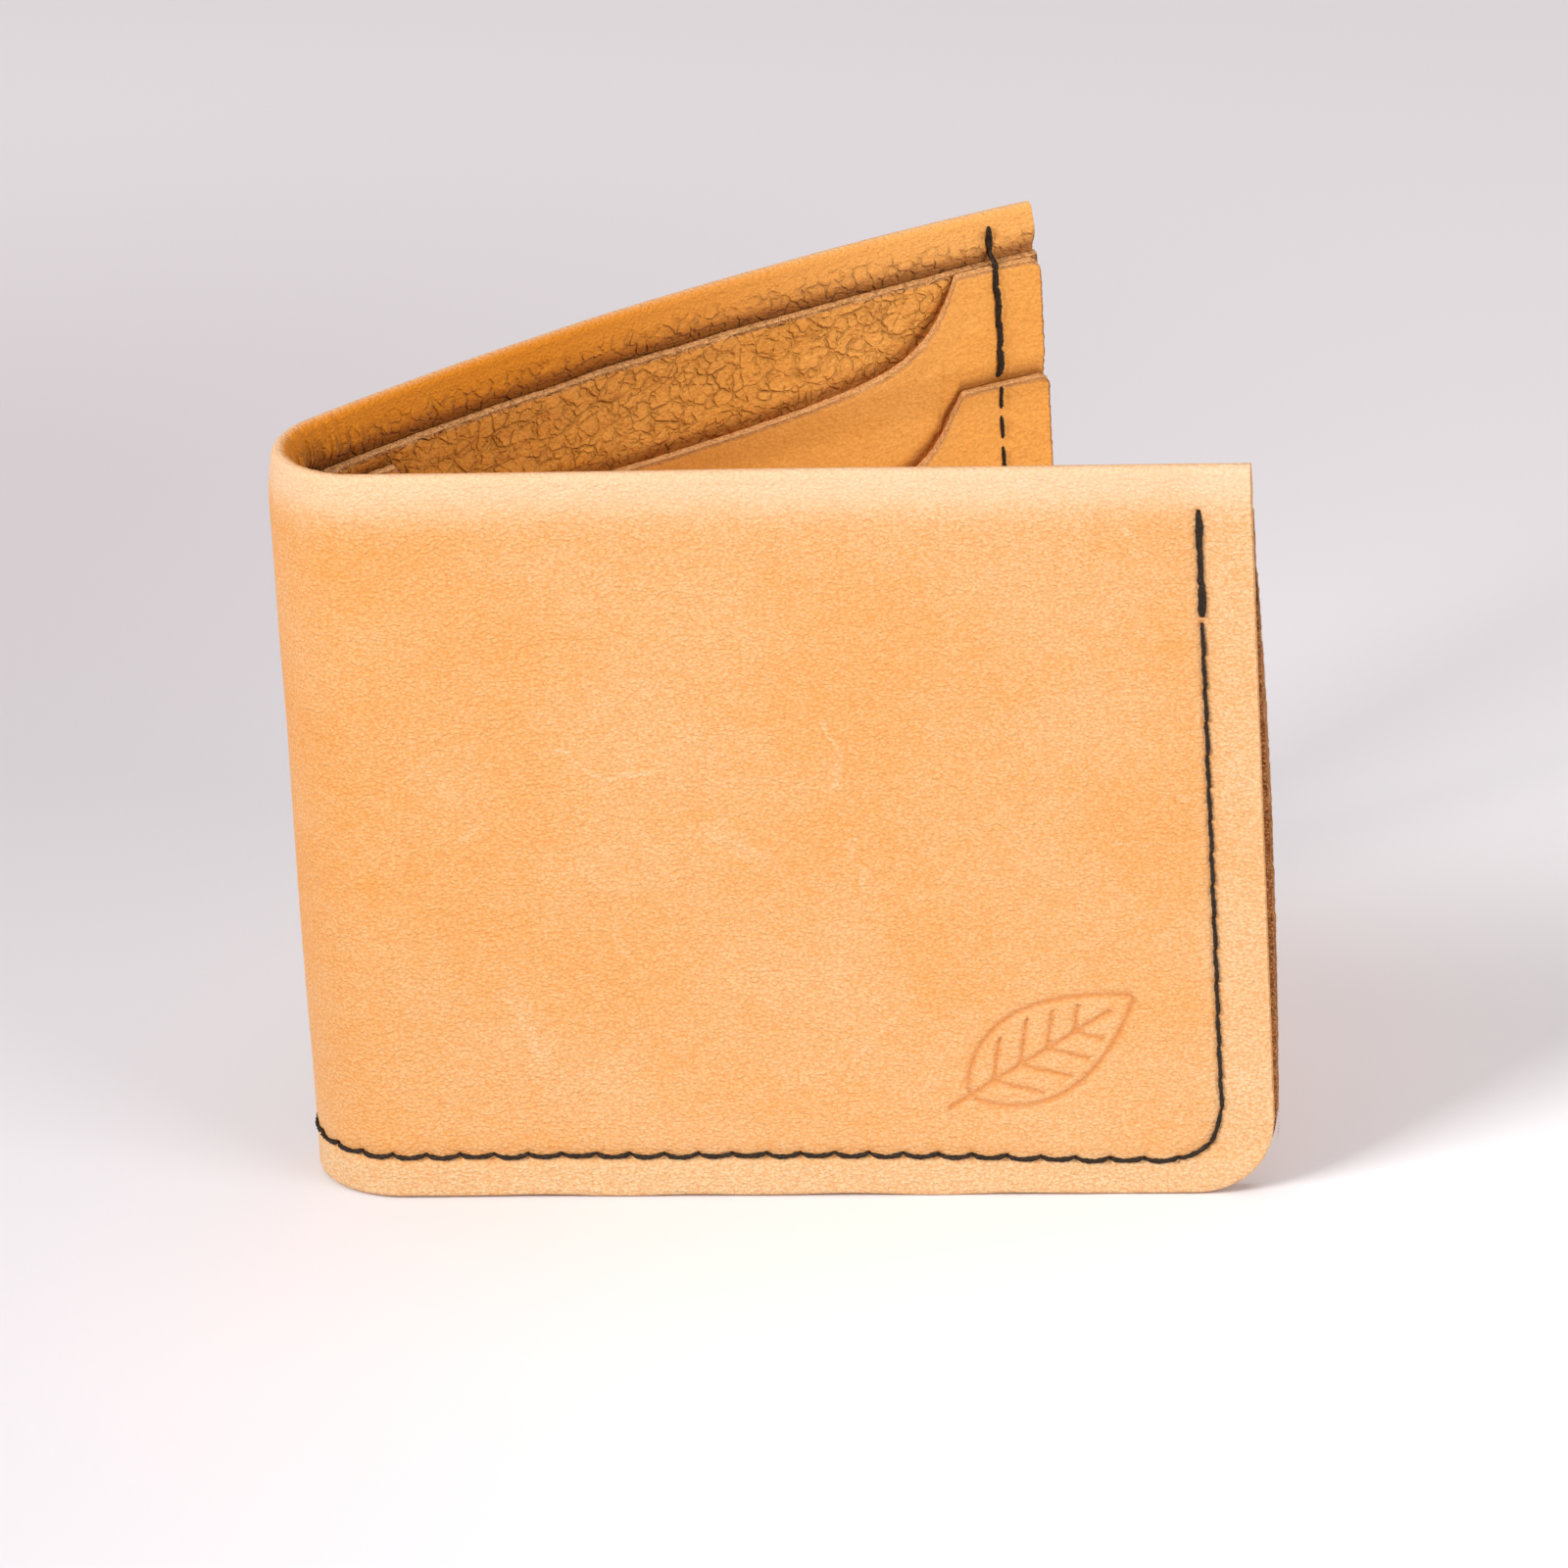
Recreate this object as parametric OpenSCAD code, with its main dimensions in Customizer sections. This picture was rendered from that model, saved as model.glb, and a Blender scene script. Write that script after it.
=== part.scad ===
// Bifold wallet standing half open on its bottom edges.
//
// Frame: millimetres, +Z up, the floor at z = 0. The front half lies along +X, from the fold
// to its free edge, and its outer face looks along -Y. The origin is on the bottom edge of the
// front cover, half way along the wallet and half way through the leather.
//
// Each half is first drawn in "half" coordinates: x runs from the outside of the fold towards
// the free edge, y is the depth inward from the outer face of the cover, and z is the height.
// The back half is the same drawing, bowed a little and mirrored across the fold.

/* [Wallet] */
// Width of the folded wallet, from the fold to the free edge
fold_width = 110; // [100:1:120]
// Height of the wallet
wallet_height = 89; // [84:1:96]
// Angle between the two halves where they leave the fold
open_angle = 48; // [44:1:54]
// Outer radius of the fold
fold_radius = 11; // [10:0.5:13]
// Turn of the back half's gentle outward bow, from the fold to the free edge
bow_angle = 18; // [10:1:20]
// Radius of the bottom corners at the free edges
corner_radius = 9; // [6:1:12]

/* [Leather] */
// Thickness of the cover leather
cover_t = 1.2; // [1:0.1:1.4]
// Thickness of the bill divider leather
divider_t = 0.9; // [0.7:0.1:1]
// Thickness of the pocket leather
pocket_t = 0.8; // [0.6:0.1:0.9]
// Gap left between two leathers that lie on each other
layer_gap = 0.1; // [0.05:0.05:0.15]
// Depth of the cover's top edge that is turned over to the inside
turned_depth = 18; // [14:1:22]

/* [Pockets] */
// Height of the bill divider's top edge below the top of the cover
divider_drop = 5.8; // [5:0.1:7]
// Height from one pocket's top edge down to the next one's
pocket_step = 14.6; // [12:0.2:16]
// Width of the ear at the free end of a pocket's scooped top edge
ear_width = 11; // [9:0.5:13]
// Width of the ear at the fold end of a pocket's scooped top edge
fold_ear_width = 8; // [6:0.5:10]
// Depth of the steep end of the scoop
scoop_end_depth = 9; // [7:0.5:10]
// Further depth of the scoop's shallow floor
scoop_floor_depth = 3.2; // [2:0.2:4]
// Height of the upper pocket's sewn base above the floor
pocket_base_height = 21; // [18:1:24]

/* [Stitching] */
// Distance from one stitch hole to the next
stitch_pitch = 3.95; // [3.5:0.05:4.5]
// Diameter of the waxed thread
thread_d = 0.45; // [0.4:0.05:0.6]
// Diameter of the doubled thread of a backtack
backtack_d = 0.75; // [0.6:0.05:0.9]
// Distance of the side seam from the free edge
side_seam_inset = 5.8; // [5:0.1:7]
// Height of the bottom seam above the floor
bottom_seam_height = 5.5; // [5:0.1:7]
// Radius of the seam's turn at the bottom corner
seam_corner_radius = 5; // [4:0.5:6]

/* [Hidden] */

$fn = 48;

// The fold: an arc that both halves' covers run into. A hinge line stands a quarter of the
// way in from each end of the arc, half way through the cover.
fold_turn = 180 - open_angle;
hinge_turn = fold_turn / 4;
spine_half_turn = fold_turn / 4;
hinge_line_r = fold_radius - cover_t / 2;
bead_r = 0.55;
cover_end_turn = 7;
divider_end_turn = 6;
hair = 0.02;
join_turn = 2;

// The back half's bow: an arc of large radius that starts where the fold ends.
half_length = fold_width - fold_radius;
bow_radius = half_length / (bow_angle * PI / 180);
chord_turn = bow_angle / 2;
chord_length = 2 * bow_radius * sin(chord_turn);

// Depths of the leathers below the turned edge. Above it they all lie one cover thickness deeper.
divider_depth = cover_t + layer_gap;
upper_pocket_depth = divider_depth + divider_t + layer_gap;
lower_pocket_depth = upper_pocket_depth + pocket_t + layer_gap;
inner_face_depth = lower_pocket_depth + pocket_t;
slope_top = wallet_height - turned_depth;
slope_height = 5;
slope_bottom = slope_top - slope_height;

// Heights of the leathers' edges.
leather_foot = 0.4;
past_end = 1;
corner_overrun = 0.2;
divider_top = wallet_height - divider_drop;
pocket_below_divider = 0.2;
upper_pocket_top = divider_top - pocket_below_divider;
lower_pocket_top = upper_pocket_top - pocket_step;
pocket_start = 1;
fold_ear_drop = 2;
stem_inset = 13;
ear_foot_height = 46;
scoop_sharpness = 3.8;

// The seam's own lengths and places.
stitch_hole = 0.45;
stitch_length = stitch_pitch - stitch_hole;
backtack_foot_drop = 18.5;
outer_backtack_drop = 5;
inner_backtack_drop = 1.6;
inner_backtack_end = 0.3;
inner_backtack_restart = 0.5;
inner_backtack_overrun = 1.5;
inner_seam_drop = backtack_foot_drop + 2;
hinge_clearance = 1.1;
base_seam_rise = 1.5;
groove_depth = 0.45;
thread_lift = 0.02;
fold_thread_lift = 0.16;
pocket_side_inset = 2;
pocket_side_drop = 2;
inner_seam_start = pocket_start + 0.6;
divider_seam_start = pocket_start - 0.8;
base_seam_inset = 3;
spine_stitch_gap_turn = 2;
bead_rise = 1;
outline_reach = 25;

leather_color = [0.93, 0.66, 0.38];
inner_color = [0.85, 0.55, 0.25];
thread_color = [0.12, 0.09, 0.07];

// ---------- placing ----------

// Moves the wallet so that the origin is on the front cover's bottom edge.
module in_frame() {
    translate([-fold_width / 2, -cover_t / 2, 0]) children();
}

// The back half is the front half's drawing mirrored across the fold's middle.
module place(side) {
    in_frame()
        if (side == "back")
            translate([fold_radius, fold_radius, 0])
                mirror([-sin(open_angle / 2), cos(open_angle / 2), 0])
                    translate([-fold_radius, -fold_radius, 0]) children();
        else
            children();
}

// ---------- profiles across the leathers: [depth, height] ----------
// A slim profile is drawn in by a hair all round, so that a sweep round the fold can run a
// little way into the half that it is joined to.

function cover_profile(slim = 0) = concat(
    [
        [slim, slim], [cover_t - slim, slim],
        [cover_t - slim, slope_top + slim], [2 * cover_t - slim, slope_top + slim]
    ],
    top_roll(cover_t - slim)
);

// The round top edge where the cover is turned over.
function top_roll(r) = [
    for (a = [0:15:180]) [cover_t + r * cos(a), wallet_height - cover_t + r * sin(a)]
];

function layer_profile(depth, t, slim = 0) =
    let (d0 = depth + slim, d1 = depth + t - slim, foot = leather_foot + slim, top = divider_top - slim)
    [
        [d0, foot], [d1, foot], [d1, slope_bottom], [d1 + cover_t, slope_top], [d1 + cover_t, top],
        [d0 + cover_t, top], [d0 + cover_t, slope_top], [d0, slope_bottom]
    ];

// Sweeps a profile round the fold, from turn a0 to turn a1 past the end of the flat half.
module fold_sweep(profile, a0, a1) {
    translate([fold_radius, fold_radius, 0])
        rotate([0, 0, -90 - a1])
            rotate_extrude(angle = a1 - a0, $fn = 96)
                polygon([for (p = profile) [fold_radius - p[0], p[1]]]);
}

// Sweeps a profile along a half: straight on the front, along the bow on the back.
module half_sweep(side, profile) {
    if (side == "front")
        translate([fold_radius, 0, 0])
            rotate([90, 0, 90])
                linear_extrude(half_length) polygon(profile);
    else
        translate([fold_radius, bow_radius, 0])
            rotate([0, 0, -90])
                rotate_extrude(angle = bow_angle, $fn = 720)
                    polygon([for (p = profile) [bow_radius - p[0], p[1]]]);
}

function bow_turn(x) = x / half_length * bow_angle;

// Cuts a sweep to an outline drawn as [distance from the fold, height].
module cut_to_outline(side, points) {
    turn = side == "front" ? 0 : chord_turn;
    intersection() {
        children();
        translate([fold_radius, 0, 0])
            rotate([0, 0, turn])
                translate([0, outline_reach, 0])
                    rotate([90, 0, 0])
                        linear_extrude(2 * outline_reach) polygon(points);
    }
}

function side_length(side) = side == "front" ? half_length : chord_length;

// ---------- outlines: [distance from the fold, height] ----------

// The outlines run a little past a leather's free end, which the sweep itself makes.
function corner_arc(length, foot) = [
    for (a = [-90:7.5:0])
        [length + corner_overrun - corner_radius + corner_radius * cos(a),
         foot + corner_radius + corner_radius * sin(a)]
];

function panel_outline(length, foot, top) = concat(
    [[-1, foot]],
    corner_arc(length, foot),
    [[length + past_end, foot + corner_radius], [length + past_end, top], [-1, top]]
);

// Depth of a pocket's scoop at a distance s from the nearer ear, over a half span.
function scoop_depth(s, half_span) =
    scoop_end_depth * (1 - exp(-s / scoop_sharpness))
    + scoop_floor_depth * (1 - pow(1 - s / half_span, 2));

function scoop_edge(length, top) =
    let (from = length - ear_width, to = pocket_start + fold_ear_width,
         half_span = (from - to) / 2)
    [for (i = [0:36])
        let (x = from - (from - to) * scoop_step(i / 36),
             s = min(from - x, x - to),
             least = x - to < half_span ? fold_ear_drop : 0)
        [x, top - max(least, scoop_depth(s, half_span))]];

// Steps that are short beside the ears, where the scoop is steep.
function scoop_step(f) = (1 - cos(180 * f)) / 2;

function lower_pocket_outline(length) = concat(
    [[pocket_start, leather_foot]],
    corner_arc(length, leather_foot),
    [[length + past_end, leather_foot + corner_radius], [length + past_end, lower_pocket_top]],
    scoop_edge(length, lower_pocket_top),
    [[pocket_start, lower_pocket_top - fold_ear_drop]]
);

function upper_pocket_outline(length) = concat(
    [
        [pocket_start, ear_foot_height], [pocket_start + stem_inset, ear_foot_height],
        [pocket_start + stem_inset, pocket_base_height], [length - stem_inset, pocket_base_height],
        [length - stem_inset, ear_foot_height], [length + past_end, ear_foot_height],
        [length + past_end, upper_pocket_top]
    ],
    scoop_edge(length, upper_pocket_top),
    [[pocket_start, upper_pocket_top - fold_ear_drop]]
);

// ---------- leathers ----------

module cover_half(side) {
    color(leather_color)
        place(side)
            union() {
                cut_to_outline(side, panel_outline(side_length(side), 0, wallet_height))
                    half_sweep(side, cover_profile());
                fold_sweep(cover_profile(hair), -join_turn, hinge_turn);
                hinge_bead();
            }
}

// The cover bends on this line, so its end is rounded about it.
module hinge_bead() {
    translate([fold_radius, fold_radius, 0])
        rotate([0, 0, -90 - hinge_turn])
            translate([hinge_line_r, 0, bead_rise])
                cylinder(r = bead_r, h = wallet_height - 2 * cover_t - bead_rise);
}

module cover_spine() {
    color(leather_color)
        place("front")
            fold_sweep(cover_profile(), hinge_turn + cover_end_turn,
                       fold_turn - hinge_turn - cover_end_turn);
}

module bill_divider_half(side) {
    color(inner_color)
        place(side)
            union() {
                cut_to_outline(side, panel_outline(side_length(side), leather_foot, divider_top))
                    half_sweep(side, layer_profile(divider_depth, divider_t));
                fold_sweep(layer_profile(divider_depth, divider_t, hair), -join_turn,
                           hinge_turn - divider_end_turn);
            }
}

module divider_spine() {
    color(inner_color)
        place("front")
            fold_sweep(layer_profile(divider_depth, divider_t), hinge_turn + divider_end_turn,
                       fold_turn - hinge_turn - divider_end_turn);
}

module upper_pocket(side) {
    color(inner_color)
        place(side)
            difference() {
                cut_to_outline(side, upper_pocket_outline(side_length(side)))
                    half_sweep(side, layer_profile(upper_pocket_depth, pocket_t));
                half_sweep(side, base_groove_profile());
            }
}

// The groove that sinks the base seam into the upper pocket, so the lower pocket lies flat.
function base_groove_profile() =
    let (face = upper_pocket_depth + pocket_t, z = pocket_base_height + base_seam_rise)
    [[face - groove_depth, z - groove_depth], [face + layer_gap / 2, z - groove_depth],
     [face + layer_gap / 2, z + groove_depth], [face - groove_depth, z + groove_depth]];

module lower_pocket(side) {
    color(inner_color)
        place(side)
            cut_to_outline(side, lower_pocket_outline(side_length(side)))
                half_sweep(side, layer_profile(lower_pocket_depth, pocket_t));
}

// ---------- stitching ----------

// A point of a half, from its distance along the cover, its depth and its height. Distances
// below zero lie on the fold.
function half_point(side, x, depth, z) =
    x < 0
    ? let (a = -x / fold_radius * 180 / PI, r = fold_radius - depth)
      [fold_radius - r * sin(a), fold_radius - r * cos(a), z]
    : side == "front"
    ? [fold_radius + x, depth, z]
    : let (a = bow_turn(x), r = bow_radius - depth)
      [fold_radius + r * sin(a), bow_radius - r * cos(a), z];

// How much deeper the leathers lie at a height, because the turned edge is under them.
function slope_shift(z) =
    cover_t * min(1, max(0, (z - slope_bottom) / (slope_top - slope_bottom)));

// Depth of the face that shows on the inside, along the side seam and along the bottom seam.
function inner_face_at(x, z) =
    z > divider_top ? 2 * cover_t
    : x < pocket_start ? divider_depth + divider_t + slope_shift(z)
    : z > lower_pocket_top ? upper_pocket_depth + pocket_t + slope_shift(z)
    : inner_face_depth + slope_shift(z);

// Depth of the thread's middle, clear of the face that it lies on.
function seam_depth(outside, d, x, z) =
    outside
    ? -d / 2 - (x < 0 ? fold_thread_lift : thread_lift)
    : inner_face_at(x, z) + d / 2 + thread_lift;

// One stitch: a straight length of thread between two points.
module stitch(a, b, d) {
    v = b - a;
    flat = norm([v[0], v[1]]);
    translate(a)
        rotate([0, atan2(flat, v[2]), atan2(v[1], v[0])])
            cylinder(d = d, h = norm(v), $fn = 16);
}

// A seam is a chain of stitches along a path of [distance from the fold, height].
module seam(side, outside, d, points) {
    for (i = [0:len(points) - 2]) {
        p = points[i];
        q = points[i + 1];
        gap = (1 - stitch_length / stitch_pitch) / 2;
        a = p + (q - p) * gap;
        b = q + (p - q) * gap;
        depths = [for (f = [0:0.25:1]) let (m = a + (b - a) * f) seam_depth(outside, d, m[0], m[1])];
        depth = outside ? min(depths) : max(depths);
        stitch(half_point(side, a[0], depth, a[1]), half_point(side, b[0], depth, b[1]), d);
    }
}

function seam_x() = half_length - side_seam_inset;

// The side seam from a height down to the start of the corner.
function side_seam(top) =
    let (foot = bottom_seam_height + seam_corner_radius,
         n = round((top - foot) / stitch_pitch))
    [for (i = [0:n]) [seam_x(), top + (foot - top) * i / n]];

function corner_seam() = [
    for (a = [0:-45:-90])
        [seam_x() - seam_corner_radius + seam_corner_radius * cos(a),
         bottom_seam_height + seam_corner_radius + seam_corner_radius * sin(a)]
];

function bottom_seam(start) =
    let (from = seam_x() - seam_corner_radius, n = round((from - start) / stitch_pitch))
    [for (i = [0:n]) [from + (start - from) * i / n, bottom_seam_height]];

function fold_arc(turn) = turn * PI / 180 * fold_radius;

module outer_seam_thread(side) {
    color(thread_color)
        place(side) {
            seam(side, true, thread_d, side_seam(wallet_height - backtack_foot_drop));
            seam(side, true, thread_d, corner_seam());
            seam(side, true, thread_d, bottom_seam(-fold_arc(hinge_turn) + hinge_clearance));
        }
}

module inner_seam_thread(side) {
    color(thread_color)
        place(side) {
            seam(side, false, thread_d, side_seam(wallet_height - inner_seam_drop));
            seam(side, false, thread_d, corner_seam());
            seam(side, false, thread_d, bottom_seam(inner_seam_start));
            seam(side, false, thread_d, divider_foot_seam());
        }
}

// The bottom seam on the divider, between the pockets and the fold.
function divider_foot_seam() = [
    [divider_seam_start, bottom_seam_height],
    [-fold_arc(hinge_turn) + 2 * hinge_clearance, bottom_seam_height]
];

module outer_backtack(side) {
    color(thread_color)
        place(side)
            seam(side, true, backtack_d, backtack(outer_backtack_drop, backtack_foot_drop));
}

module inner_backtack(side) {
    color(thread_color)
        place(side) {
            seam(side, false, backtack_d,
                 backtack(inner_backtack_drop, divider_drop - inner_backtack_end));
            seam(side, false, backtack_d,
                 backtack(divider_drop + inner_backtack_restart,
                          backtack_foot_drop + inner_backtack_overrun));
        }
}

// Stitches of a backtack between two drops below the top of the wallet.
function backtack(from, to) =
    let (n = max(1, round((to - from) / stitch_pitch)))
    [for (i = [0:n]) [seam_x(), wallet_height - from - (to - from) * i / n]];

// Stitches round the spine, in equal turns clear of both hinge lines.
module spine_seam(depth, clear_turn) {
    r = fold_radius - depth;
    sweep = 2 * (spine_half_turn - clear_turn);
    n = round(sweep * PI / 180 * r / stitch_pitch);
    start = -90 - hinge_turn - clear_turn;
    for (i = [0:n - 1]) {
        a = start - sweep * i / n - spine_stitch_gap_turn;
        b = start - sweep * (i + 1) / n + spine_stitch_gap_turn;
        stitch([fold_radius + r * cos(a), fold_radius + r * sin(a), bottom_seam_height],
               [fold_radius + r * cos(b), fold_radius + r * sin(b), bottom_seam_height], thread_d);
    }
}

module spine_outer_seam_thread() {
    color(thread_color)
        place("front")
            spine_seam(-thread_d / 2 - fold_thread_lift, cover_end_turn);
}

module spine_inner_seam_thread() {
    color(thread_color)
        place("front")
            spine_seam(divider_depth + divider_t + thread_d / 2 + thread_lift, divider_end_turn);
}

// The seam that closes the upper pocket's base. It lies on the pocket, behind the lower pocket.
module pocket_base_thread(side) {
    z = pocket_base_height + base_seam_rise;
    from = pocket_start + stem_inset + base_seam_inset;
    to = side_length(side) - stem_inset - base_seam_inset;
    n = round((to - from) / stitch_pitch);
    color(thread_color)
        place(side)
            grooved_seam(side, [for (i = [0:n]) [from + (to - from) * i / n, z]]);
}

// The seam that holds the pockets' fold ends to the divider.
module pocket_side_thread(side) {
    top = upper_pocket_top - pocket_side_drop;
    foot = bottom_seam_height + stitch_pitch;
    n = round((top - foot) / stitch_pitch);
    color(thread_color)
        place(side)
            seam(side, false, thread_d,
                 [for (i = [0:n]) [pocket_start + pocket_side_inset, top + (foot - top) * i / n]]);
}

module grooved_seam(side, points) {
    depth = upper_pocket_depth + pocket_t - groove_depth / 2;
    for (i = [0:len(points) - 2]) {
        gap = (points[i + 1] - points[i]) * (1 - stitch_length / stitch_pitch) / 2;
        a = points[i] + gap;
        b = points[i + 1] - gap;
        stitch(half_point(side, a[0], depth, a[1]), half_point(side, b[0], depth, b[1]),
               groove_depth - 2 * thread_lift);
    }
}

cover_half("front");  // front_cover
cover_spine();
cover_half("back");  // back_cover
bill_divider_half("front");  // front_bill_divider
divider_spine();
bill_divider_half("back");  // back_bill_divider
upper_pocket("front");  // front_upper_pocket
lower_pocket("front");  // front_lower_pocket
upper_pocket("back");  // back_upper_pocket
lower_pocket("back");  // back_lower_pocket
outer_seam_thread("front");  // front_outer_seam_thread
spine_outer_seam_thread();
outer_seam_thread("back");  // back_outer_seam_thread
inner_seam_thread("front");  // front_inner_seam_thread
spine_inner_seam_thread();
inner_seam_thread("back");  // back_inner_seam_thread
outer_backtack("front");  // front_outer_backtack
inner_backtack("front");  // front_inner_backtack
outer_backtack("back");  // back_outer_backtack
inner_backtack("back");  // back_inner_backtack
pocket_base_thread("front");  // front_pocket_base_thread
pocket_base_thread("back");  // back_pocket_base_thread
pocket_side_thread("front");  // front_pocket_side_thread
pocket_side_thread("back");  // back_pocket_side_thread
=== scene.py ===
"""The looks of a hand-stitched leather bifold wallet that stands half open.

Leather points are worked out in the wallet's own flat coordinates, in millimetres: s runs from
the end of the fold towards a half's free edge, below zero it is on the fold, depth runs inward
from the cover's outer face, and z is the height. on_half() puts them in the frame.
"""

import math

import bpy
import numpy as np
from mathutils import Matrix, Vector, noise


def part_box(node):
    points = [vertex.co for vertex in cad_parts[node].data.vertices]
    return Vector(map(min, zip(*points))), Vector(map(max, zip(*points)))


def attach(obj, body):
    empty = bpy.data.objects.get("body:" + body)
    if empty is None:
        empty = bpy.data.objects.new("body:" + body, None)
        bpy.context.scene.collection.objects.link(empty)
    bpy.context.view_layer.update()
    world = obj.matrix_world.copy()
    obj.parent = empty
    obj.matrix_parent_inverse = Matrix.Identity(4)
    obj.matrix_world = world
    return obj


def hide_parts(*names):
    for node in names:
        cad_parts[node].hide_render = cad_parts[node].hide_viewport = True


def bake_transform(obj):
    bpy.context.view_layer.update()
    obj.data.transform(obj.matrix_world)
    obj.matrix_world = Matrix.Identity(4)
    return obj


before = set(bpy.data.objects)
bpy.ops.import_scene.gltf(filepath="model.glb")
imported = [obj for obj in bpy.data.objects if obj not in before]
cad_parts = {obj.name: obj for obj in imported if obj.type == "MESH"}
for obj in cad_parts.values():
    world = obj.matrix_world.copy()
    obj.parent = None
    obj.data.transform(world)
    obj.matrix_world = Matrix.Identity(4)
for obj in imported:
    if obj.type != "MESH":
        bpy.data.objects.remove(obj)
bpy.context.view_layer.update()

# ---------- sizes, in millimetres, the same as the CAD's ----------

MM = 0.001
_, cover_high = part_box("front_cover")
HEIGHT = cover_high.z / MM
FREE_X = cover_high.x / MM
COVER_T = 1.2
DIVIDER_T = 0.9
POCKET_T = 0.8
LAYER_GAP = 0.1
FOLD_R = 11.0
FOLD_WIDTH = 2 * FREE_X
LENGTH = FOLD_WIDTH - FOLD_R
OPEN = math.radians(48)
BOW_R = LENGTH / math.radians(18)
MID_FOLD = -FOLD_R * (math.pi - OPEN) / 2
JOIN_END = MID_FOLD + 0.6
JOIN = (MID_FOLD, JOIN_END, 0.15)  # close columns, where the two halves of a leather meet
CORNER_R = 9.0

DIVIDER_DEPTH = COVER_T + LAYER_GAP
UPPER_DEPTH = DIVIDER_DEPTH + DIVIDER_T + LAYER_GAP
LOWER_DEPTH = UPPER_DEPTH + POCKET_T + LAYER_GAP
HEM_FOOT = HEIGHT - 18
HEM_SLOPE = 5.0
ROUND_FOOT = 82.0
ROLL_FOOT = 87.8
ROLL_RISE = 1.2
LEATHER_FOOT = 0.4
DIVIDER_TOP = HEIGHT - 5.8
UPPER_TOP = DIVIDER_TOP - 0.2
LOWER_TOP = UPPER_TOP - 14.6
POCKET_START = 1.0
EAR = 11.0
FOLD_EAR = 8.0
FOLD_EAR_DROP = 2.0
STEM_INSET = 13.0
EAR_FOOT = 46.0
BASE = 21.0

PITCH = 3.95
THREAD_R = 0.235
SEAM_S = LENGTH - 5.8
SEAM_Z = 5.5
SEAM_DIP = 0.9
SEAM_DENT = 0.20
SEAM_CORNER = 5.0
BACKTACK_TOP = HEIGHT - 5
SEAM_TOP = HEIGHT - 18.5

rng = np.random.default_rng(7)


# ---------- small maths ----------

def smooth(x):
    """0 below 0, 1 above 1, and an S curve between."""
    x = np.clip(x, 0, 1)
    return x * x * (3 - 2 * x)


def bell(x, width):
    """1 at 0, falling off to either side."""
    return np.exp(-(x / width) ** 2)


def ripple(a, b, seed):
    """Smooth noise, about -1 to 1, at points (a, b)."""
    a, b = np.broadcast_arrays(a, b)
    values = [noise.noise(Vector((x, y, seed))) for x, y in zip(a.ravel(), b.ravel())]
    return np.array(values).reshape(a.shape) * 1.6


def pebbles(a, b, seed):
    """Rounded cells with creases between them: 0 in a crease and about 1 on a pebble."""
    a, b = np.broadcast_arrays(a, b)
    gaps = []
    for x, y in zip(a.ravel(), b.ravel()):
        near = noise.voronoi(Vector((x, y, seed)))[0]
        gaps.append(near[1] - near[0])
    return np.minimum(np.array(gaps).reshape(a.shape) * 2.2, 1.0)


def steps(*stretches):
    """Positions from stretches of (start, end, spacing)."""
    parts = [np.linspace(a, b, max(2, int(round((b - a) / gap)) + 1))[:-1] for a, b, gap in stretches]
    return np.concatenate(parts + [[stretches[-1][1]]])


def leather_u(side, s):
    """Distance along the whole leather, which is one piece across the fold."""
    return s if side == "front" else 2 * MID_FOLD - s


def sway(side, s, z):
    """The gentle unevenness that all the layers of a half share."""
    u = leather_u(side, s)
    return 0.16 * ripple(u / 34, z / 30, 3.1) + 0.05 * ripple(u / 9, z / 11, 8.4)


def on_half(side, s, depth, z):
    """Leather coordinates in millimetres to points of the frame in metres."""
    turn = np.minimum(s, 0) / FOLD_R
    fold_x = (FOLD_R - depth) * np.sin(turn)
    fold_y = -(FOLD_R - depth) * np.cos(turn)
    if side == "front":
        x, y = s, depth - FOLD_R
    else:
        bow = s / BOW_R
        x = (BOW_R - depth) * np.sin(bow)
        y = BOW_R - (BOW_R - depth) * np.cos(bow) - FOLD_R
    x, y = np.where(s < 0, fold_x, x), np.where(s < 0, fold_y, y)
    if side == "back":
        x, y = (math.cos(OPEN) * x + math.sin(OPEN) * y, math.sin(OPEN) * x - math.cos(OPEN) * y)
    x = x + FOLD_R - FOLD_WIDTH / 2
    y = y + FOLD_R - COVER_T / 2
    return np.stack(np.broadcast_arrays(x, y, z), axis=-1) * MM


# ---------- the seams' holes ----------

def bottom_seam_z(s):
    return SEAM_Z - SEAM_DIP * smooth((s - 50) / 35)


def even(start, end, pitch=PITCH):
    """Evenly spaced values about a pitch apart."""
    return np.linspace(start, end, max(2, int(round(abs(end - start) / pitch)) + 1))


def side_holes(top):
    z = even(top, bottom_seam_z(SEAM_S) + SEAM_CORNER + 1)
    return [(SEAM_S, v) for v in z]


def corner_holes():
    foot = bottom_seam_z(SEAM_S - SEAM_CORNER)
    rise = SEAM_CORNER + 1
    return [
        (SEAM_S - SEAM_CORNER * (1 - math.cos(a)), foot + rise * (1 - math.sin(a)))
        for a in np.radians([0, 45, 90])
    ]


def bottom_holes(start):
    s = even(SEAM_S - SEAM_CORNER, start)
    return [(v, bottom_seam_z(v)) for v in s]


def seam_holes(top, start):
    """The holes of a whole seam: down the side, round the corner and along the bottom."""
    return np.array(side_holes(top) + corner_holes()[1:] + bottom_holes(start)[1:])


OUTER_HOLES = seam_holes(SEAM_TOP, MID_FOLD)
BACKTACK_HOLES = np.array([(SEAM_S, z) for z in np.linspace(BACKTACK_TOP, SEAM_TOP + 0.8, 4)])


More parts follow.
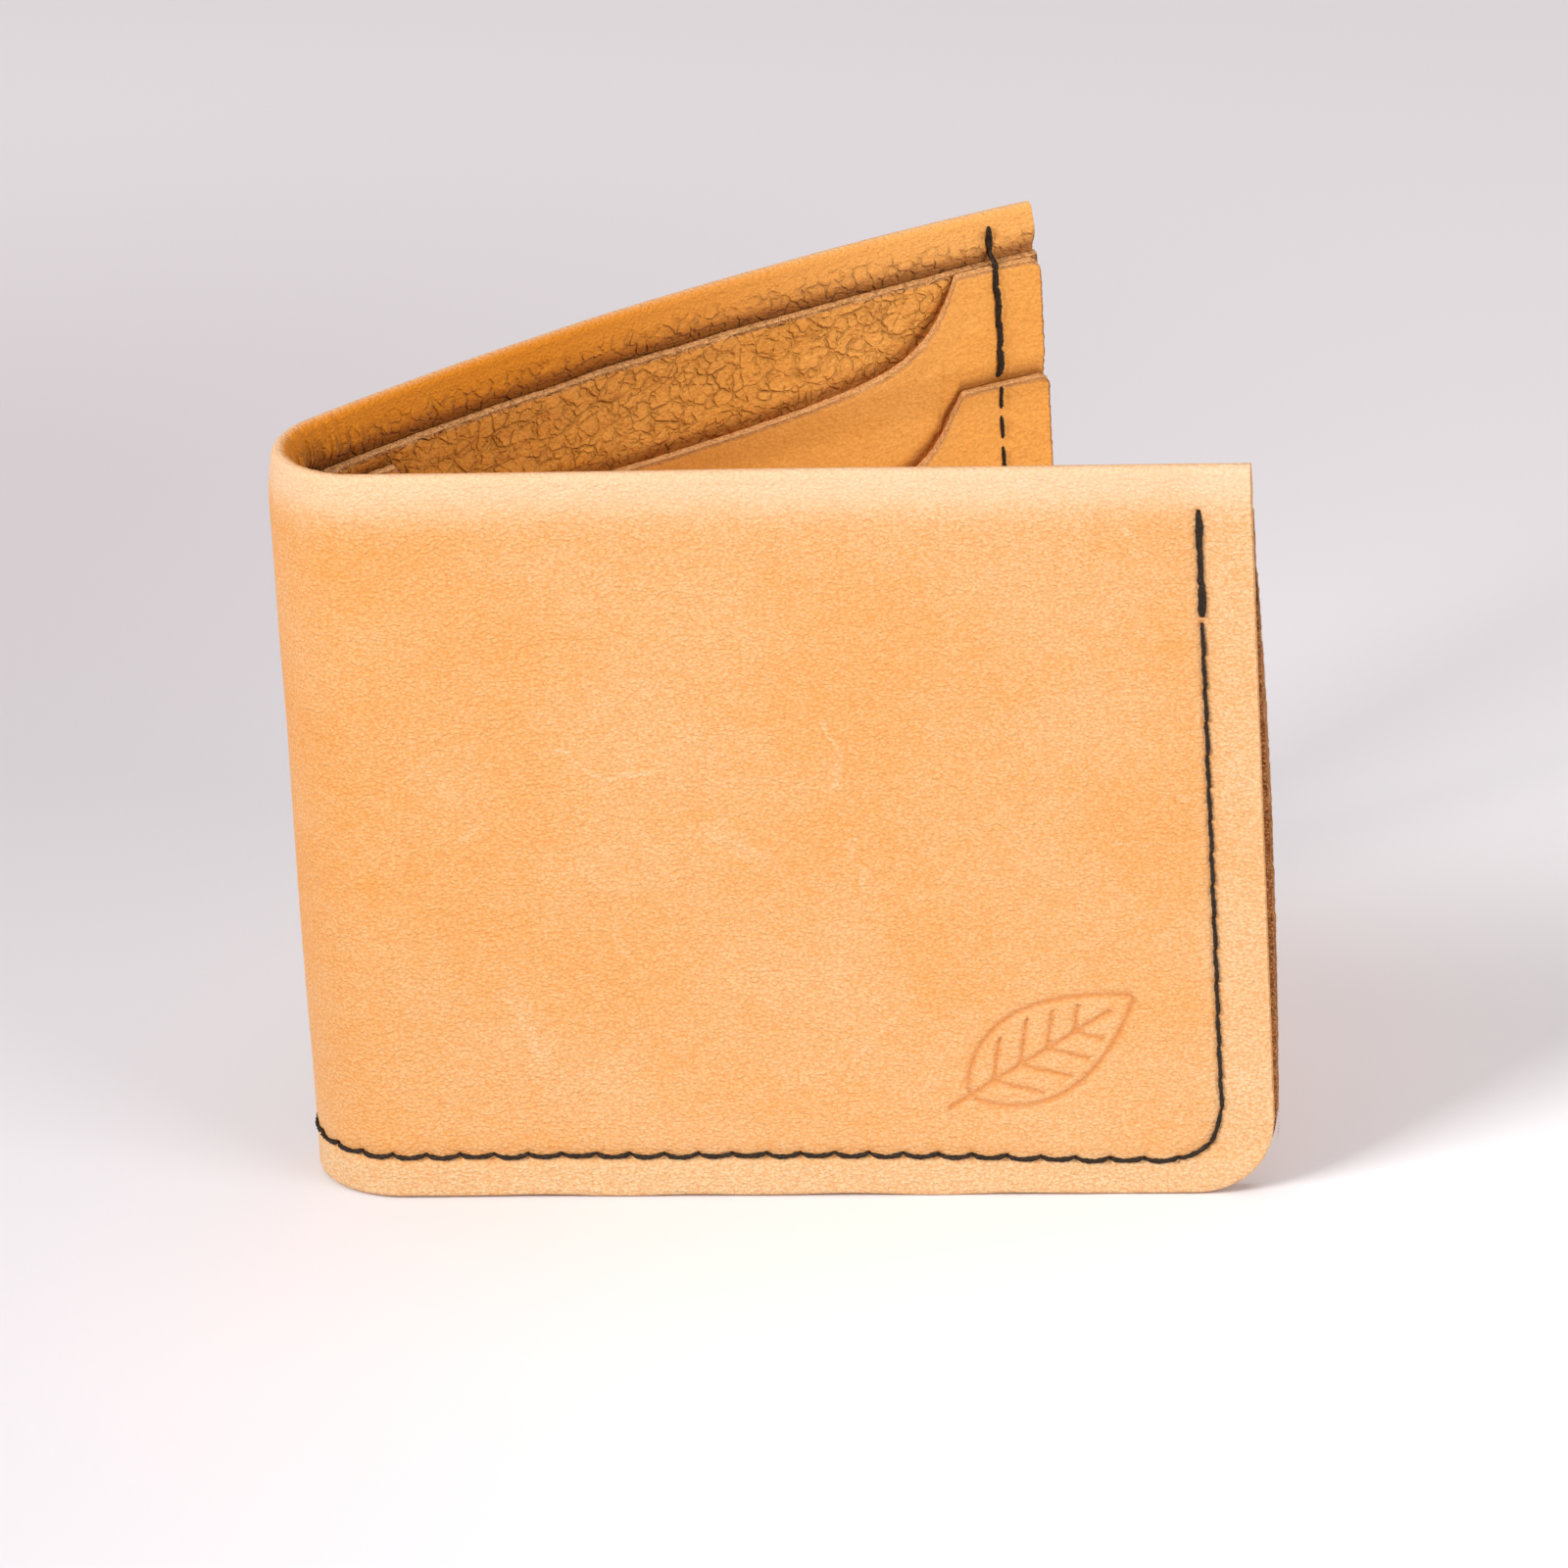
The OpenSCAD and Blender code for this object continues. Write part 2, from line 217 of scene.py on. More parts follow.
def to_line(s, z, holes):
    """Distance of points from the line through some holes."""
    best = np.full(np.shape(s), 1e9)
    for (s0, z0), (s1, z1) in zip(holes[:-1], holes[1:]):
        ds, dz = s1 - s0, z1 - z0
        t = np.clip(((s - s0) * ds + (z - z0) * dz) / (ds * ds + dz * dz), 0, 1)
        best = np.minimum(best, np.hypot(s - s0 - t * ds, z - z0 - t * dz))
    return best


def to_holes(s, z, holes):
    """Distance of points from the nearest hole."""
    best = np.full(np.shape(s), 1e9)
    for s0, z0 in holes:
        best = np.minimum(best, np.hypot(s - s0, z - z0))
    return best


# ---------- the pressed mark: a plain leaf ----------

LEAF_ROOT = (65.0, 12.6)
LEAF_ANGLE = math.radians(33)
LEAF_LENGTH = 22.5
LEAF_HALF_WIDTH = 5.6
LEAF_LINE = 0.36


def leaf_half_width(p):
    f = np.clip(p / LEAF_LENGTH, 0, 1)
    return LEAF_HALF_WIDTH * np.sin(math.pi * f ** 0.8) ** 0.85


def leaf_lines(s, z):
    """1 on the lines of the pressed leaf, and 0 off them."""
    right, up = math.cos(LEAF_ANGLE), math.sin(LEAF_ANGLE)
    p = (s - LEAF_ROOT[0]) * right + (z - LEAF_ROOT[1]) * up
    q = np.abs((z - LEAF_ROOT[1]) * right - (s - LEAF_ROOT[0]) * up)
    width = leaf_half_width(p)
    slope = np.abs(leaf_half_width(p + 0.1) - leaf_half_width(p - 0.1)) / 0.2
    outline = np.where((p > 0) & (p < LEAF_LENGTH), np.abs(q - width) / np.hypot(1, slope), 9)
    rib = np.where((p > -3) & (p < 0.86 * LEAF_LENGTH), q, 9)
    lines = bell(outline, LEAF_LINE) + bell(rib, LEAF_LINE)
    for vein in range(4):
        along = p - 3.2 - 3.7 * vein - 0.9 * q
        inside = (q < width - 1.1) & (q > 0.1)
        lines = lines + np.where(inside, bell(along * 0.74, LEAF_LINE * 0.85), 0)
    return np.minimum(lines, 1)


# ---------- leather shells ----------

def make_mesh(name, points, faces, attributes, material):
    """A mesh object from points in metres, its faces and its attributes by point."""
    mesh = bpy.data.meshes.new(name)
    mesh.from_pydata(points.tolist(), [], faces)
    for key, values in attributes.items():
        kind, field = ("FLOAT_VECTOR", "vector") if values.ndim == 2 else ("FLOAT", "value")
        attribute = mesh.attributes.new(key, kind, "POINT")
        attribute.data.foreach_set(field, values.astype(np.float32).ravel())
    mesh.shade_smooth()
    mesh.materials.append(material)
    piece = bpy.data.objects.new(name, mesh)
    bpy.context.scene.collection.objects.link(piece)
    return piece


def zip_chains(a, b, za, zb):
    """Triangles between two chains of points that run side by side up a cut end."""
    faces, i, j = [], 0, 0
    while i < len(a) - 1 or j < len(b) - 1:
        if j == len(b) - 1 or (i < len(a) - 1 and za[i + 1] <= zb[j + 1]):
            faces.append((a[i], a[i + 1], b[j]))
            i += 1
        else:
            faces.append((a[i], b[j + 1], b[j]))
            j += 1
    return faces


def faces_out(points, faces):
    """The faces of a closed mesh, turned so that they point outward."""
    volume = 0.0
    for size in (3, 4):
        rows = np.array([f for f in faces if len(f) == size])
        for k in range(1, size - 1):
            a, b, c = (points[rows[:, i]] for i in (0, k, k + 1))
            volume += np.einsum("ij,ij->", a, np.cross(b, c))
    return faces if volume > 0 else [f[::-1] for f in faces]


class Shell:
    """A closed leather: a ring of points (depth, z) round its section at each column s."""

    def __init__(self, side, columns):
        self.side = side
        self.columns = columns
        self.chains = []

    def chain(self, depth, z, raw=0.0, press_and_shade=0.0, s_shift=0.0):
        """Adds rows of points to the ring. Every argument broadcasts to (columns, rows)."""
        z = np.asarray(z, float)
        shape = (len(self.columns), z.shape[-1])
        grow = lambda v: np.broadcast_to(np.asarray(v, float), shape).copy()
        self.chains.append({
            "s": grow(self.columns[:, None]) + grow(s_shift), "depth": grow(depth), "z": grow(z),
            "raw": grow(raw), "press_and_shade": grow(press_and_shade),
        })

    def ring(self, key):
        return np.concatenate([c[key] for c in self.chains], axis=1)

    def build(self, name, material, fibres=(), cut_start=True):
        """The closed mesh. Its last column, and its first with cut_start, is a cut end."""
        s, depth, z, raw, press_and_shade = [self.ring(k) for k in ("s", "depth", "z", "raw", "press_and_shade")]
        s, depth, z, raw, press_and_shade = [np.vstack([v, v[-1:]]) for v in (s, depth, z, raw, press_and_shade)]
        middle = (depth[-1].min() + depth[-1].max()) / 2
        depth[-1] += np.clip(middle - depth[-1], -0.14, 0.14)
        s[-1] += 0.10
        raw[-1] = 1
        # The cut end is marked to be painted darker: partly its darker fibres, partly painted shade.
        press_and_shade[-1] = 0.8
        if cut_start:
            s, depth, z, raw, press_and_shade = [np.vstack([v[:1], v]) for v in (s, depth, z, raw, press_and_shade)]
            middle = (depth[0].min() + depth[0].max()) / 2
            depth[0] += np.clip(middle - depth[0], -0.14, 0.14)
            s[0] -= 0.10
            raw[0] = 1
        cols, rows = s.shape
        shifted = depth + sway(self.side, s, z)
        points = on_half(self.side, s, shifted, z).reshape(-1, 3)
        index = np.arange(cols * rows).reshape(cols, rows)
        around = np.roll(index, -1, axis=1)
        faces = np.stack([index[:-1], index[1:], around[1:], around[:-1]], axis=-1).reshape(-1, 4)
        faces = [tuple(f) for f in faces.tolist()]
        n_out = self.chains[0]["z"].shape[1]
        for c, flip in ((0, True), (cols - 1, False)):
            up = list(index[c, :n_out])
            down = list(index[c, n_out:])[::-1]
            caps = zip_chains(up, down, z[c, :n_out], z[c, n_out:][::-1])
            faces += [tuple(int(i) for i in (f[::-1] if flip else f)) for f in caps]
        place = np.stack([leather_u(self.side, s), z, depth], axis=-1).reshape(-1, 3)
        values = {"leather": place, "raw": raw.ravel(), "press_and_shade": press_and_shade.ravel()}
        faces = faces_out(points, faces)
        points, faces, values = add_fibres(self.side, points, faces, values, fibres)
        piece = make_mesh(name, points, faces, values, material)
        sharpen_cuts(piece, index, cols)
        return piece


def sharpen_cuts(piece, index, cols):
    """Keeps the flat cut ends from rounding off the shading beside them."""
    ends = [set(index[0].tolist()), set(index[cols - 1].tolist())]
    sharp = [any(set(e.vertices) <= end for end in ends) for e in piece.data.edges]
    mark = piece.data.attributes.new("sharp_edge", "BOOLEAN", "EDGE")
    mark.data.foreach_set("value", sharp)


def add_fibres(side, points, faces, values, fibres):
    """Short loose fibres standing out of the cut edges, as bent three-sided spikes."""
    count = len(fibres)
    if not count:
        return points, faces, values
    base, lean, thick = fibres[:, :3], fibres[:, 3:6], fibres[:, 6:7]
    angles = np.radians([0, 120, 240])
    spokes = np.stack([np.cos(angles), np.sin(angles), np.zeros(3)], axis=-1)
    bend = lean * 0.55 + np.roll(lean, 1, axis=1) * 0.12
    low = base[:, None] + spokes * thick[:, None]
    mid = (base + bend)[:, None] + spokes * thick[:, None] * 0.7
    tip = (base + lean)[:, None]
    flat = np.concatenate([low, mid, tip], axis=1).reshape(-1, 3)
    s, depth, z = flat.T
    new = on_half(side, s, depth + sway(side, s, z), z)
    order = 1 if side == "front" else -1
    for a in range(len(points), len(points) + 7 * count, 7):
        faces.append((a + 2, a + 1, a)[::order])
        for i in range(3):
            j = (i + 1) % 3
            faces.append((a + i, a + j, a + 3 + j, a + 3 + i)[::order])
            faces.append((a + 3 + i, a + 3 + j, a + 6)[::order])
    place = np.stack([leather_u(side, s), z, depth], axis=-1)
    ones = np.ones(len(flat))
    values = {
        "leather": np.concatenate([values["leather"], place]),
        "raw": np.concatenate([values["raw"], ones]),
        "press_and_shade": np.concatenate([values["press_and_shade"], 0 * ones]),
    }
    return np.concatenate([points, new]), faces, values


def edge_fibres(s, z, depth, per_mm, length, up=1.0, out=0.35):
    """Fibres on a cut edge whose line is s, z, with depth the (near, far) faces."""
    run = np.concatenate([[0], np.cumsum(np.hypot(np.diff(s), np.diff(z)))])
    count = int(run[-1] * per_mm)
    at = rng.uniform(0, run[-1], count)
    base_s, base_z = np.interp(at, run, s), np.interp(at, run, z)
    near, far = [np.interp(at, run, np.broadcast_to(d, s.shape)) for d in depth]
    base_d = near + (far - near) * rng.uniform(0.1, 1.0, count)
    size = length * rng.uniform(0.35, 1.0, count) ** 1.6
    lean = np.stack([
        size * rng.normal(0, 0.6, count), size * rng.normal(out, 0.4, count),
        size * up * rng.uniform(0.2, 1.0, count)], axis=-1)
    thick = rng.uniform(0.018, 0.04, (count, 1))
    return np.hstack([np.stack([base_s, base_d, base_z - 0.05], axis=-1), lean, thick])


# ---------- shapes that the leathers share ----------

def hem_shift(z):
    """How much deeper a layer lies where the cover's turned edge is under it."""
    return COVER_T * np.clip((z - HEM_FOOT + HEM_SLOPE) / HEM_SLOPE, 0, 1)


def corner_foot(s, foot):
    """Height of the lower edge, with its round corner at the free end."""
    into = np.clip(s - (LENGTH - CORNER_R), 0, CORNER_R)
    return foot + CORNER_R - np.sqrt(CORNER_R ** 2 - into ** 2)


def free_columns(*stretches):
    """Columns up to the round corner, then columns spaced evenly round it."""
    turn = np.linspace(0, math.pi / 2, 24)[1:]
    return np.concatenate([steps(*stretches), LENGTH - CORNER_R + CORNER_R * np.sin(turn)])


def scoop_depth(t, half_span):
    """How deep a pocket's scoop is at t from its end."""
    return 9 * (1 - np.exp(-t / 3.8)) + 3.2 * (1 - (1 - t / half_span) ** 2)


def pocket_top(s, top):
    """Height of a pocket's scooped top edge, with small round corners at its ends."""
    start, end = POCKET_START + FOLD_EAR, LENGTH - EAR
    half_span = (end - start) / 2
    t = np.clip(np.minimum(s - start, end - s), 0, half_span)
    z = top - scoop_depth(t, half_span)
    z = np.where(s < start + half_span, np.minimum(z, top - FOLD_EAR_DROP), z)
    round_off = 1.6
    into = np.clip(s - (LENGTH - round_off), 0, round_off)
    z = z - round_off + np.sqrt(round_off ** 2 - into ** 2)
    into = np.clip(POCKET_START + round_off - s, 0, round_off)
    return z - round_off + np.sqrt(round_off ** 2 - into ** 2)


# Share of the overhang that the divider, the upper pocket and the lower pocket have.
OVERHANG = {"front": (0.85, 1.0, 1.05), "back": (0.3, 0.3, 2.0)}


def overhang(side, s, z, amount):
    """How far an inner layer stands out past the cover at the free edge."""
    if side == "front":
        out = 0.75 * np.sin(math.pi * np.clip((z - 3) / 73, 0, 1)) ** 0.7
    else:
        out = 0.3 + 0 * z
    return amount * out * smooth((s - 84) / 14)


def ragged(side, s, z, seed, size):
    """The small unevenness of a cut edge."""
    u = leather_u(side, s)
    return size * (0.6 * ripple(u / 0.7, z / 0.7, seed) + 0.6 * ripple(u / 2.4, z / 2.4, seed + 5))


def rows_between(foot, top, fractions):
    """Heights at fractions of the way from foot to top, for each column."""
    return foot[:, None] + (top - foot)[:, None] * fractions[None, :]


# ---------- the cover ----------

def cover_grid(side):
    """The columns and the outer face's heights, finest on the front where the leaf is pressed."""
    if side == "front":
        columns = free_columns(JOIN, (JOIN_END, 3, 0.42), (3, 61, 0.72), (61, LENGTH - CORNER_R, 0.25))
        levels = steps((0.25, 2, 0.45), (2, 11, 0.5), (11, 31, 0.25), (31, 80, 0.8), (80, ROLL_FOOT, 0.45))
    else:
        columns = free_columns(JOIN, (JOIN_END, 12, 0.42), (12, LENGTH - CORNER_R, 0.6))
        levels = steps((0.25, 2, 0.45), (2, 9, 0.5), (9, 80, 1.0), (80, ROLL_FOOT, 0.45))
    return columns, levels[None, :]


def top_rounding(z):
    """How far the outer face draws in towards the rolled top edge."""
    return 0.62 * np.clip((z - ROUND_FOOT) / 6, 0, 1) ** 2


def cover_outside(side, c, z, foot):
    """The outer face's depth, and how much it is pressed and dark: pressed along the leaf's lines and the
    seam, and painted dark as shade in the stitch holes.
    """
    u = leather_u(side, c)
    seam = to_line(c, z, OUTER_HOLES)
    tack = to_line(c, z, BACKTACK_HOLES)
    holes = to_holes(c, z, np.vstack([OUTER_HOLES, BACKTACK_HOLES]))
    outer = SEAM_DENT * bell(seam, 0.8) + 0.16 * bell(tack, 0.9) + 0.34 * bell(holes, 0.42)
    outer = outer + top_rounding(z)
    outer = outer + 0.10 * bell(z - foot[:, None], 0.5)
    outer = outer + 0.022 * ripple(u / 1.7, z / 1.3, 1.3)
    outer = outer - 0.10 * bell(c - SEAM_S - 3, 1.8) * smooth((z - 8) / 8)
    pucker = smooth((c - 2) / 6) * smooth((34 - c) / 8) + smooth((c - 78) / 6)
    outer = outer + 0.05 * pucker * bell(z - 3.1, 1.9) * ripple(u / 0.85, z / 5, 6.6)
    # Pressed leather along the seam, and painted shade in the stitch holes.
    press_and_shade = 0.85 * bell(holes, 0.36) + 0.15 * bell(seam, 0.55)
    if side == "front":
        leaf = leaf_lines(c, z)
        ridge = bell(c - SEAM_S + 1.5, 0.35) * smooth((z - 14) / 5) * smooth((74 - z) / 8)
        outer = outer + 0.32 * leaf + 0.08 * ridge
        press_and_shade = np.maximum(press_and_shade, leaf)
    return outer, press_and_shade


def cover(side, material):
    columns, levels = cover_grid(side)
    c = columns[:, None]
    u = leather_u(side, c)
    foot = corner_foot(columns, 0.0)
    wobble = 0.14 + 0.14 * ripple(u / 11, 0 * u, 4.4)
    climb = lambda z: foot[:, None] + wobble + z * (HEIGHT - foot[:, None] - wobble) / HEIGHT
    z = climb(levels)
    outer, press_and_shade = cover_outside(side, c, z, foot)
    shell = Shell(side, columns)
    shell.chain(outer, z, press_and_shade=press_and_shade)

    top_depth = outer[:, -1:]
    inner_depth = hem_face(side, c, np.full_like(c, ROLL_FOOT))
    turn = np.linspace(0, math.pi, 13)[None, 1:-1]
    middle, half = (inner_depth + top_depth) / 2, (inner_depth - top_depth) / 2
    shell.chain(middle - half * np.cos(turn), climb(ROLL_FOOT + ROLL_RISE * np.sin(turn)))
    hem = steps((HEM_FOOT, ROUND_FOOT, 1.4), (ROUND_FOOT, ROLL_FOOT, 0.36))[::-1][None, :]
    # Painted shade: a dark band at the hem's foot, just above the divider's top edge.
    shell.chain(hem_face(side, c, hem), climb(hem), press_and_shade=0.95 * bell(hem - DIVIDER_TOP - 0.2, 1.25))
    flesh = steps((0.3, HEM_FOOT, 5.0))[::-1][None, :]
    shell.chain(COVER_T, climb(flesh), raw=0.5)
    cut_depth = np.array([[COVER_T * 0.8, COVER_T * 0.5, 0.25]])
    shell.chain(cut_depth, climb(np.array([[0.05, 0.0, 0.06]])), raw=1.0)
    piece = shell.build(side + "_cover_leather", material, cut_start=False)
    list(blend_line(side))
    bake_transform(piece)
    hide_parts(side + "_cover", "cover_spine")


def hem_face(side, s, z):
    """Depth of the cover's turned edge, soft and puffed above the divider, creased in the fold."""
    u = leather_u(side, s)
    above = smooth((z - DIVIDER_TOP + 0.3) / 2.1)
    puff = 0.85 * above * smooth((89.6 - z) / 4.6)
    folds = 0.24 * ripple(u / 0.75, z / 9, 2.2) + 0.08 * ripple(u / 1.8, z / 5, 9.2)
    folds = smooth((7 - s) / 6) * above * folds
    low = above * smooth((87.4 - z) / 2.2)
    grain = 0.24 * low * (pebbles(u / 1.9, z / 1.5, 5.5) - 0.6) * smooth((s + 8) / 8)
    pull = 0.75 * bell(s - SEAM_S, 1.1) * above * smooth((87.6 - z) / 2)
    return 2 * COVER_T + puff + folds + grain - pull


def blend_line(side):
    """The two ends of a half's stretch of the fold: where it meets the flat half, and the fold's middle."""
    middle = Vector(on_half("front", np.array(MID_FOLD), np.array(0.0), np.array(0.0)))
    end = Vector(on_half(side, np.array(0.0), np.array(0.0), np.array(0.0)))
    return (end, middle) if side == "front" else (middle, end)


# ---------- the divider and the pockets ----------

BEVEL = 0.36
SETTLE = 0.8


def settled(s, z):
    """How far the lower pocket sinks onto the divider where no upper pocket lies between them."""
    beside = smooth((STEM_INSET - 0.5 - s) / 5) + smooth((s - LENGTH + STEM_INSET - 0.5) / 5)
    beside = beside * smooth((EAR_FOOT - 0.5 - z) / 5)
    below = smooth((BASE - 1 - z) / 5)
    return SETTLE * (beside + below - beside * below)


def seam_dents(c, z):
    """How far the stitches pull an inner leather in."""
    seams = np.vstack([OUTER_HOLES, BACKTACK_HOLES[::-1]])
    dent = 0.16 * bell(c - SEAM_S, 0.9) * smooth((z - 9) / 2) + 0.18 * bell(to_holes(c, z, seams), 0.45)
    return dent + 0.12 * bell(z - bottom_seam_z(c), 0.9)


def fray(side, depth, thick, out, settle):
    """Short fibres along an inner leather's free end."""
    height = np.linspace(6, 74, 120)
    end = LENGTH + 0.1 + 0 * height
    end = end + overhang(side, end, height, out)
    level = depth - settle(end, height)
    fibres = edge_fibres(end, height, (level, level + thick), 4.0, 0.3, up=0.2, out=0.0)
    fibres[:, 3] = np.abs(fibres[:, 3]) + 0.05
    return fibres


def layer(side, name, material, columns, foot, top, depth, thick, gap, relief, out, lift, over,
          cut_start=True, settle=lambda s, z: 0 * z):
    """A flat inner leather, with rows gap apart. relief(u, z) is its grain, out is its share of the
    overhang, lift(s) stands its top edge off, over is the top of the next leather that lies on it,
    along which it is pressed in a little and painted dark as shade, and settle(s, z) is how far it
    sinks towards the cover."""
    c = columns[:, None]
    u = leather_u(side, c)
    tall = float((top - foot).max())
    visible = steps((0.0, 1.0, gap / tall))
    hidden = steps((0.0, 1.0, 3.0 / tall))
    rag = ragged(side, c, 0 * c + top[:, None], 11.0, 0.07)
    z_in = rows_between(foot, top, visible)
    z_out = rows_between(foot, top, hidden)
    near_top = lambda z: smooth((z - top[:, None] + 7) / 7)
    face = lambda z: depth + hem_shift(z) + lift(c) * near_top(z) ** 2 - settle(c, z)
    dent = seam_dents(c, z_in) + 0.10 * bell(z_in - top[:, None], 0.35)
    z_in = z_in + (rag - BEVEL) * smooth((z_in - top[:, None] + 4) / 4)
    shell = Shell(side, columns)
    far = overhang(side, c, z_out, out) + edge_noise(c, z_out, 21.0)
    past = lambda z, shift: smooth((c + shift - LENGTH + 0.25) / 0.3) + 0 * z
    # Past the free edge this face is cut leather, marked to be painted darker: darker fibres and painted
    # shade.
    shell.chain(face(z_out), z_out, raw=past(z_out, far), press_and_shade=past(z_out, far), s_shift=far)
    mid = top[:, None] + rag
    shift = overhang(side, c, mid, out)
    across = np.array([[0.10, 0.35, 0.65, 0.92]])
    bumps = 0.06 * ripple(u / 0.45 + across * 3, across * 4, 31.0)
    shell.chain(face(mid) + thick * across, mid + bumps - BEVEL * across ** 1.5, raw=1.0, s_shift=shift)
    z_down = z_in[:, ::-1]
    grain = relief(u, z_down)
    near = overhang(side, c, z_down, out) + edge_noise(c, z_down, 23.0)
    raw = bell(z_down - mid + BEVEL, 0.26)
    # Past the free edge the face is cut leather, marked to be painted darker like the cut end.
    cut = past(z_down, 0)
    # Painted shade: a dark line just above the top edge of the next leather that lies on this one.
    crease = 0.95 * bell(z_down - over[:, None] - 0.15, 0.95) * smooth((c - POCKET_START + 0.5) / 1.0)
    sink = 0.30 * bell(z_down - over[:, None], 1.4) * smooth((c - POCKET_START - 2) / 3)
    sink = sink * smooth((LENGTH - EAR - c) / 2)
    shell.chain(face(z_down) + thick + grain - sink - dent[:, ::-1], z_down,
                raw=np.maximum(raw, cut), press_and_shade=np.maximum(crease, cut), s_shift=near)
    low = foot[:, None] + 0 * across
    # The foot's cut edge is marked to be painted darker.
    shell.chain(face(low) + thick * across[:, ::-1], low - 0.03, raw=1.0, press_and_shade=0.6,
                s_shift=overhang(side, c, low, out))
    edge = (face(mid)[:, 0], face(mid)[:, 0] + thick)
    fibres = edge_fibres(columns + shift[:, 0], mid[:, 0], edge, 5.0, 0.42)
    if side == "front":
        fibres = np.vstack([fibres, fray(side, depth, thick, out, settle)])
    piece = shell.build(name, material, fibres, cut_start)
    return piece


def edge_noise(s, z, seed):
    """The rough cut of a free end."""
    return 0.11 * smooth((s - LENGTH + 1.0) / 0.9) * ripple(z / 0.55, s / 3, seed)


def divider_relief(u, z):
    big = pebbles(u / 6.5 + 0.25 * ripple(u / 4, z / 4, 2.0), z / 4.2, 1.5)
    small = pebbles(u / 2.3, z / 1.8, 7.5)
    return 0.20 * (big - 0.7) + 0.10 * (small - 0.6)


def pocket_relief(u, z):
    big = pebbles(u / 7.5, z / 6.0 + 0.3 * ripple(u / 5, z / 5, 4.0), 3.5)
    return 0.07 * (big - 0.7) + 0.03 * ripple(u / 1.6, z / 1.3, 6.1)


def divider(side, material):
    columns = free_columns(JOIN, (JOIN_END, LENGTH - CORNER_R, 0.5))
    top = DIVIDER_TOP + 0.15 * ripple(leather_u(side, columns) / 9, 0 * columns, 12.0)
    lift = lambda s: 0.50 * smooth((s + 9) / 9) * smooth((SEAM_S - s) / 8)
    piece = layer(side, side + "_divider_leather", material, columns, corner_foot(columns, LEATHER_FOOT),
                  top, DIVIDER_DEPTH, DIVIDER_T, gap=0.5, relief=divider_relief, out=OVERHANG[side][0],
                  lift=lift, over=pocket_top(columns, UPPER_TOP), cut_start=False)
    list(blend_line(side))
    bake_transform(piece)
    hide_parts(side + "_bill_divider", "divider_spine")


def pocket_lift(s):
    """The scooped middle of a pocket's edge stands off a little more than its sewn ears."""
    return 0.08 + 0.30 * smooth((s - POCKET_START - 4) / 12) * smooth((LENGTH - EAR + 2 - s) / 10)


def pocket_columns():
    """Columns that are closest together on the two curves of the scoop."""
    start, end = POCKET_START, LENGTH - EAR
    near = start + FOLD_EAR
    return free_columns((start, near - 1, 0.5), (near - 1, near + 9, 0.25), (near + 9, end - 12, 0.55),
                        (end - 12, end + 1, 0.22), (end + 1, LENGTH - CORNER_R, 0.45))


def upper_pocket(side, material):
    columns = pocket_columns()
    stem = smooth((columns - STEM_INSET) / 1.0) * smooth((LENGTH - STEM_INSET - columns) / 1.0)
    foot = EAR_FOOT + (BASE - EAR_FOOT) * stem
    piece = layer(side, side + "_upper_pocket_leather", material, columns, foot,
                  pocket_top(columns, UPPER_TOP), UPPER_DEPTH, POCKET_T, gap=0.6, relief=pocket_relief,
                  out=OVERHANG[side][1], lift=pocket_lift, over=pocket_top(columns, LOWER_TOP))
    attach(piece, side + "_half")
    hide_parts(side + "_upper_pocket")


def lower_pocket(side, material):
    columns = pocket_columns()
    nothing_over = 0 * columns - HEIGHT
    piece = layer(side, side + "_lower_pocket_leather", material, columns,
                  corner_foot(columns, LEATHER_FOOT), pocket_top(columns, LOWER_TOP), LOWER_DEPTH, POCKET_T,
                  gap=0.6, relief=pocket_relief, out=OVERHANG[side][2], lift=pocket_lift,
                  over=nothing_over, settle=settled)
    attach(piece, side + "_half")
    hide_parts(side + "_lower_pocket")


# ---------- thread ----------

STITCH_RINGS = 15
STITCH_SIDES = 12
THREAD_LAY = 2.3


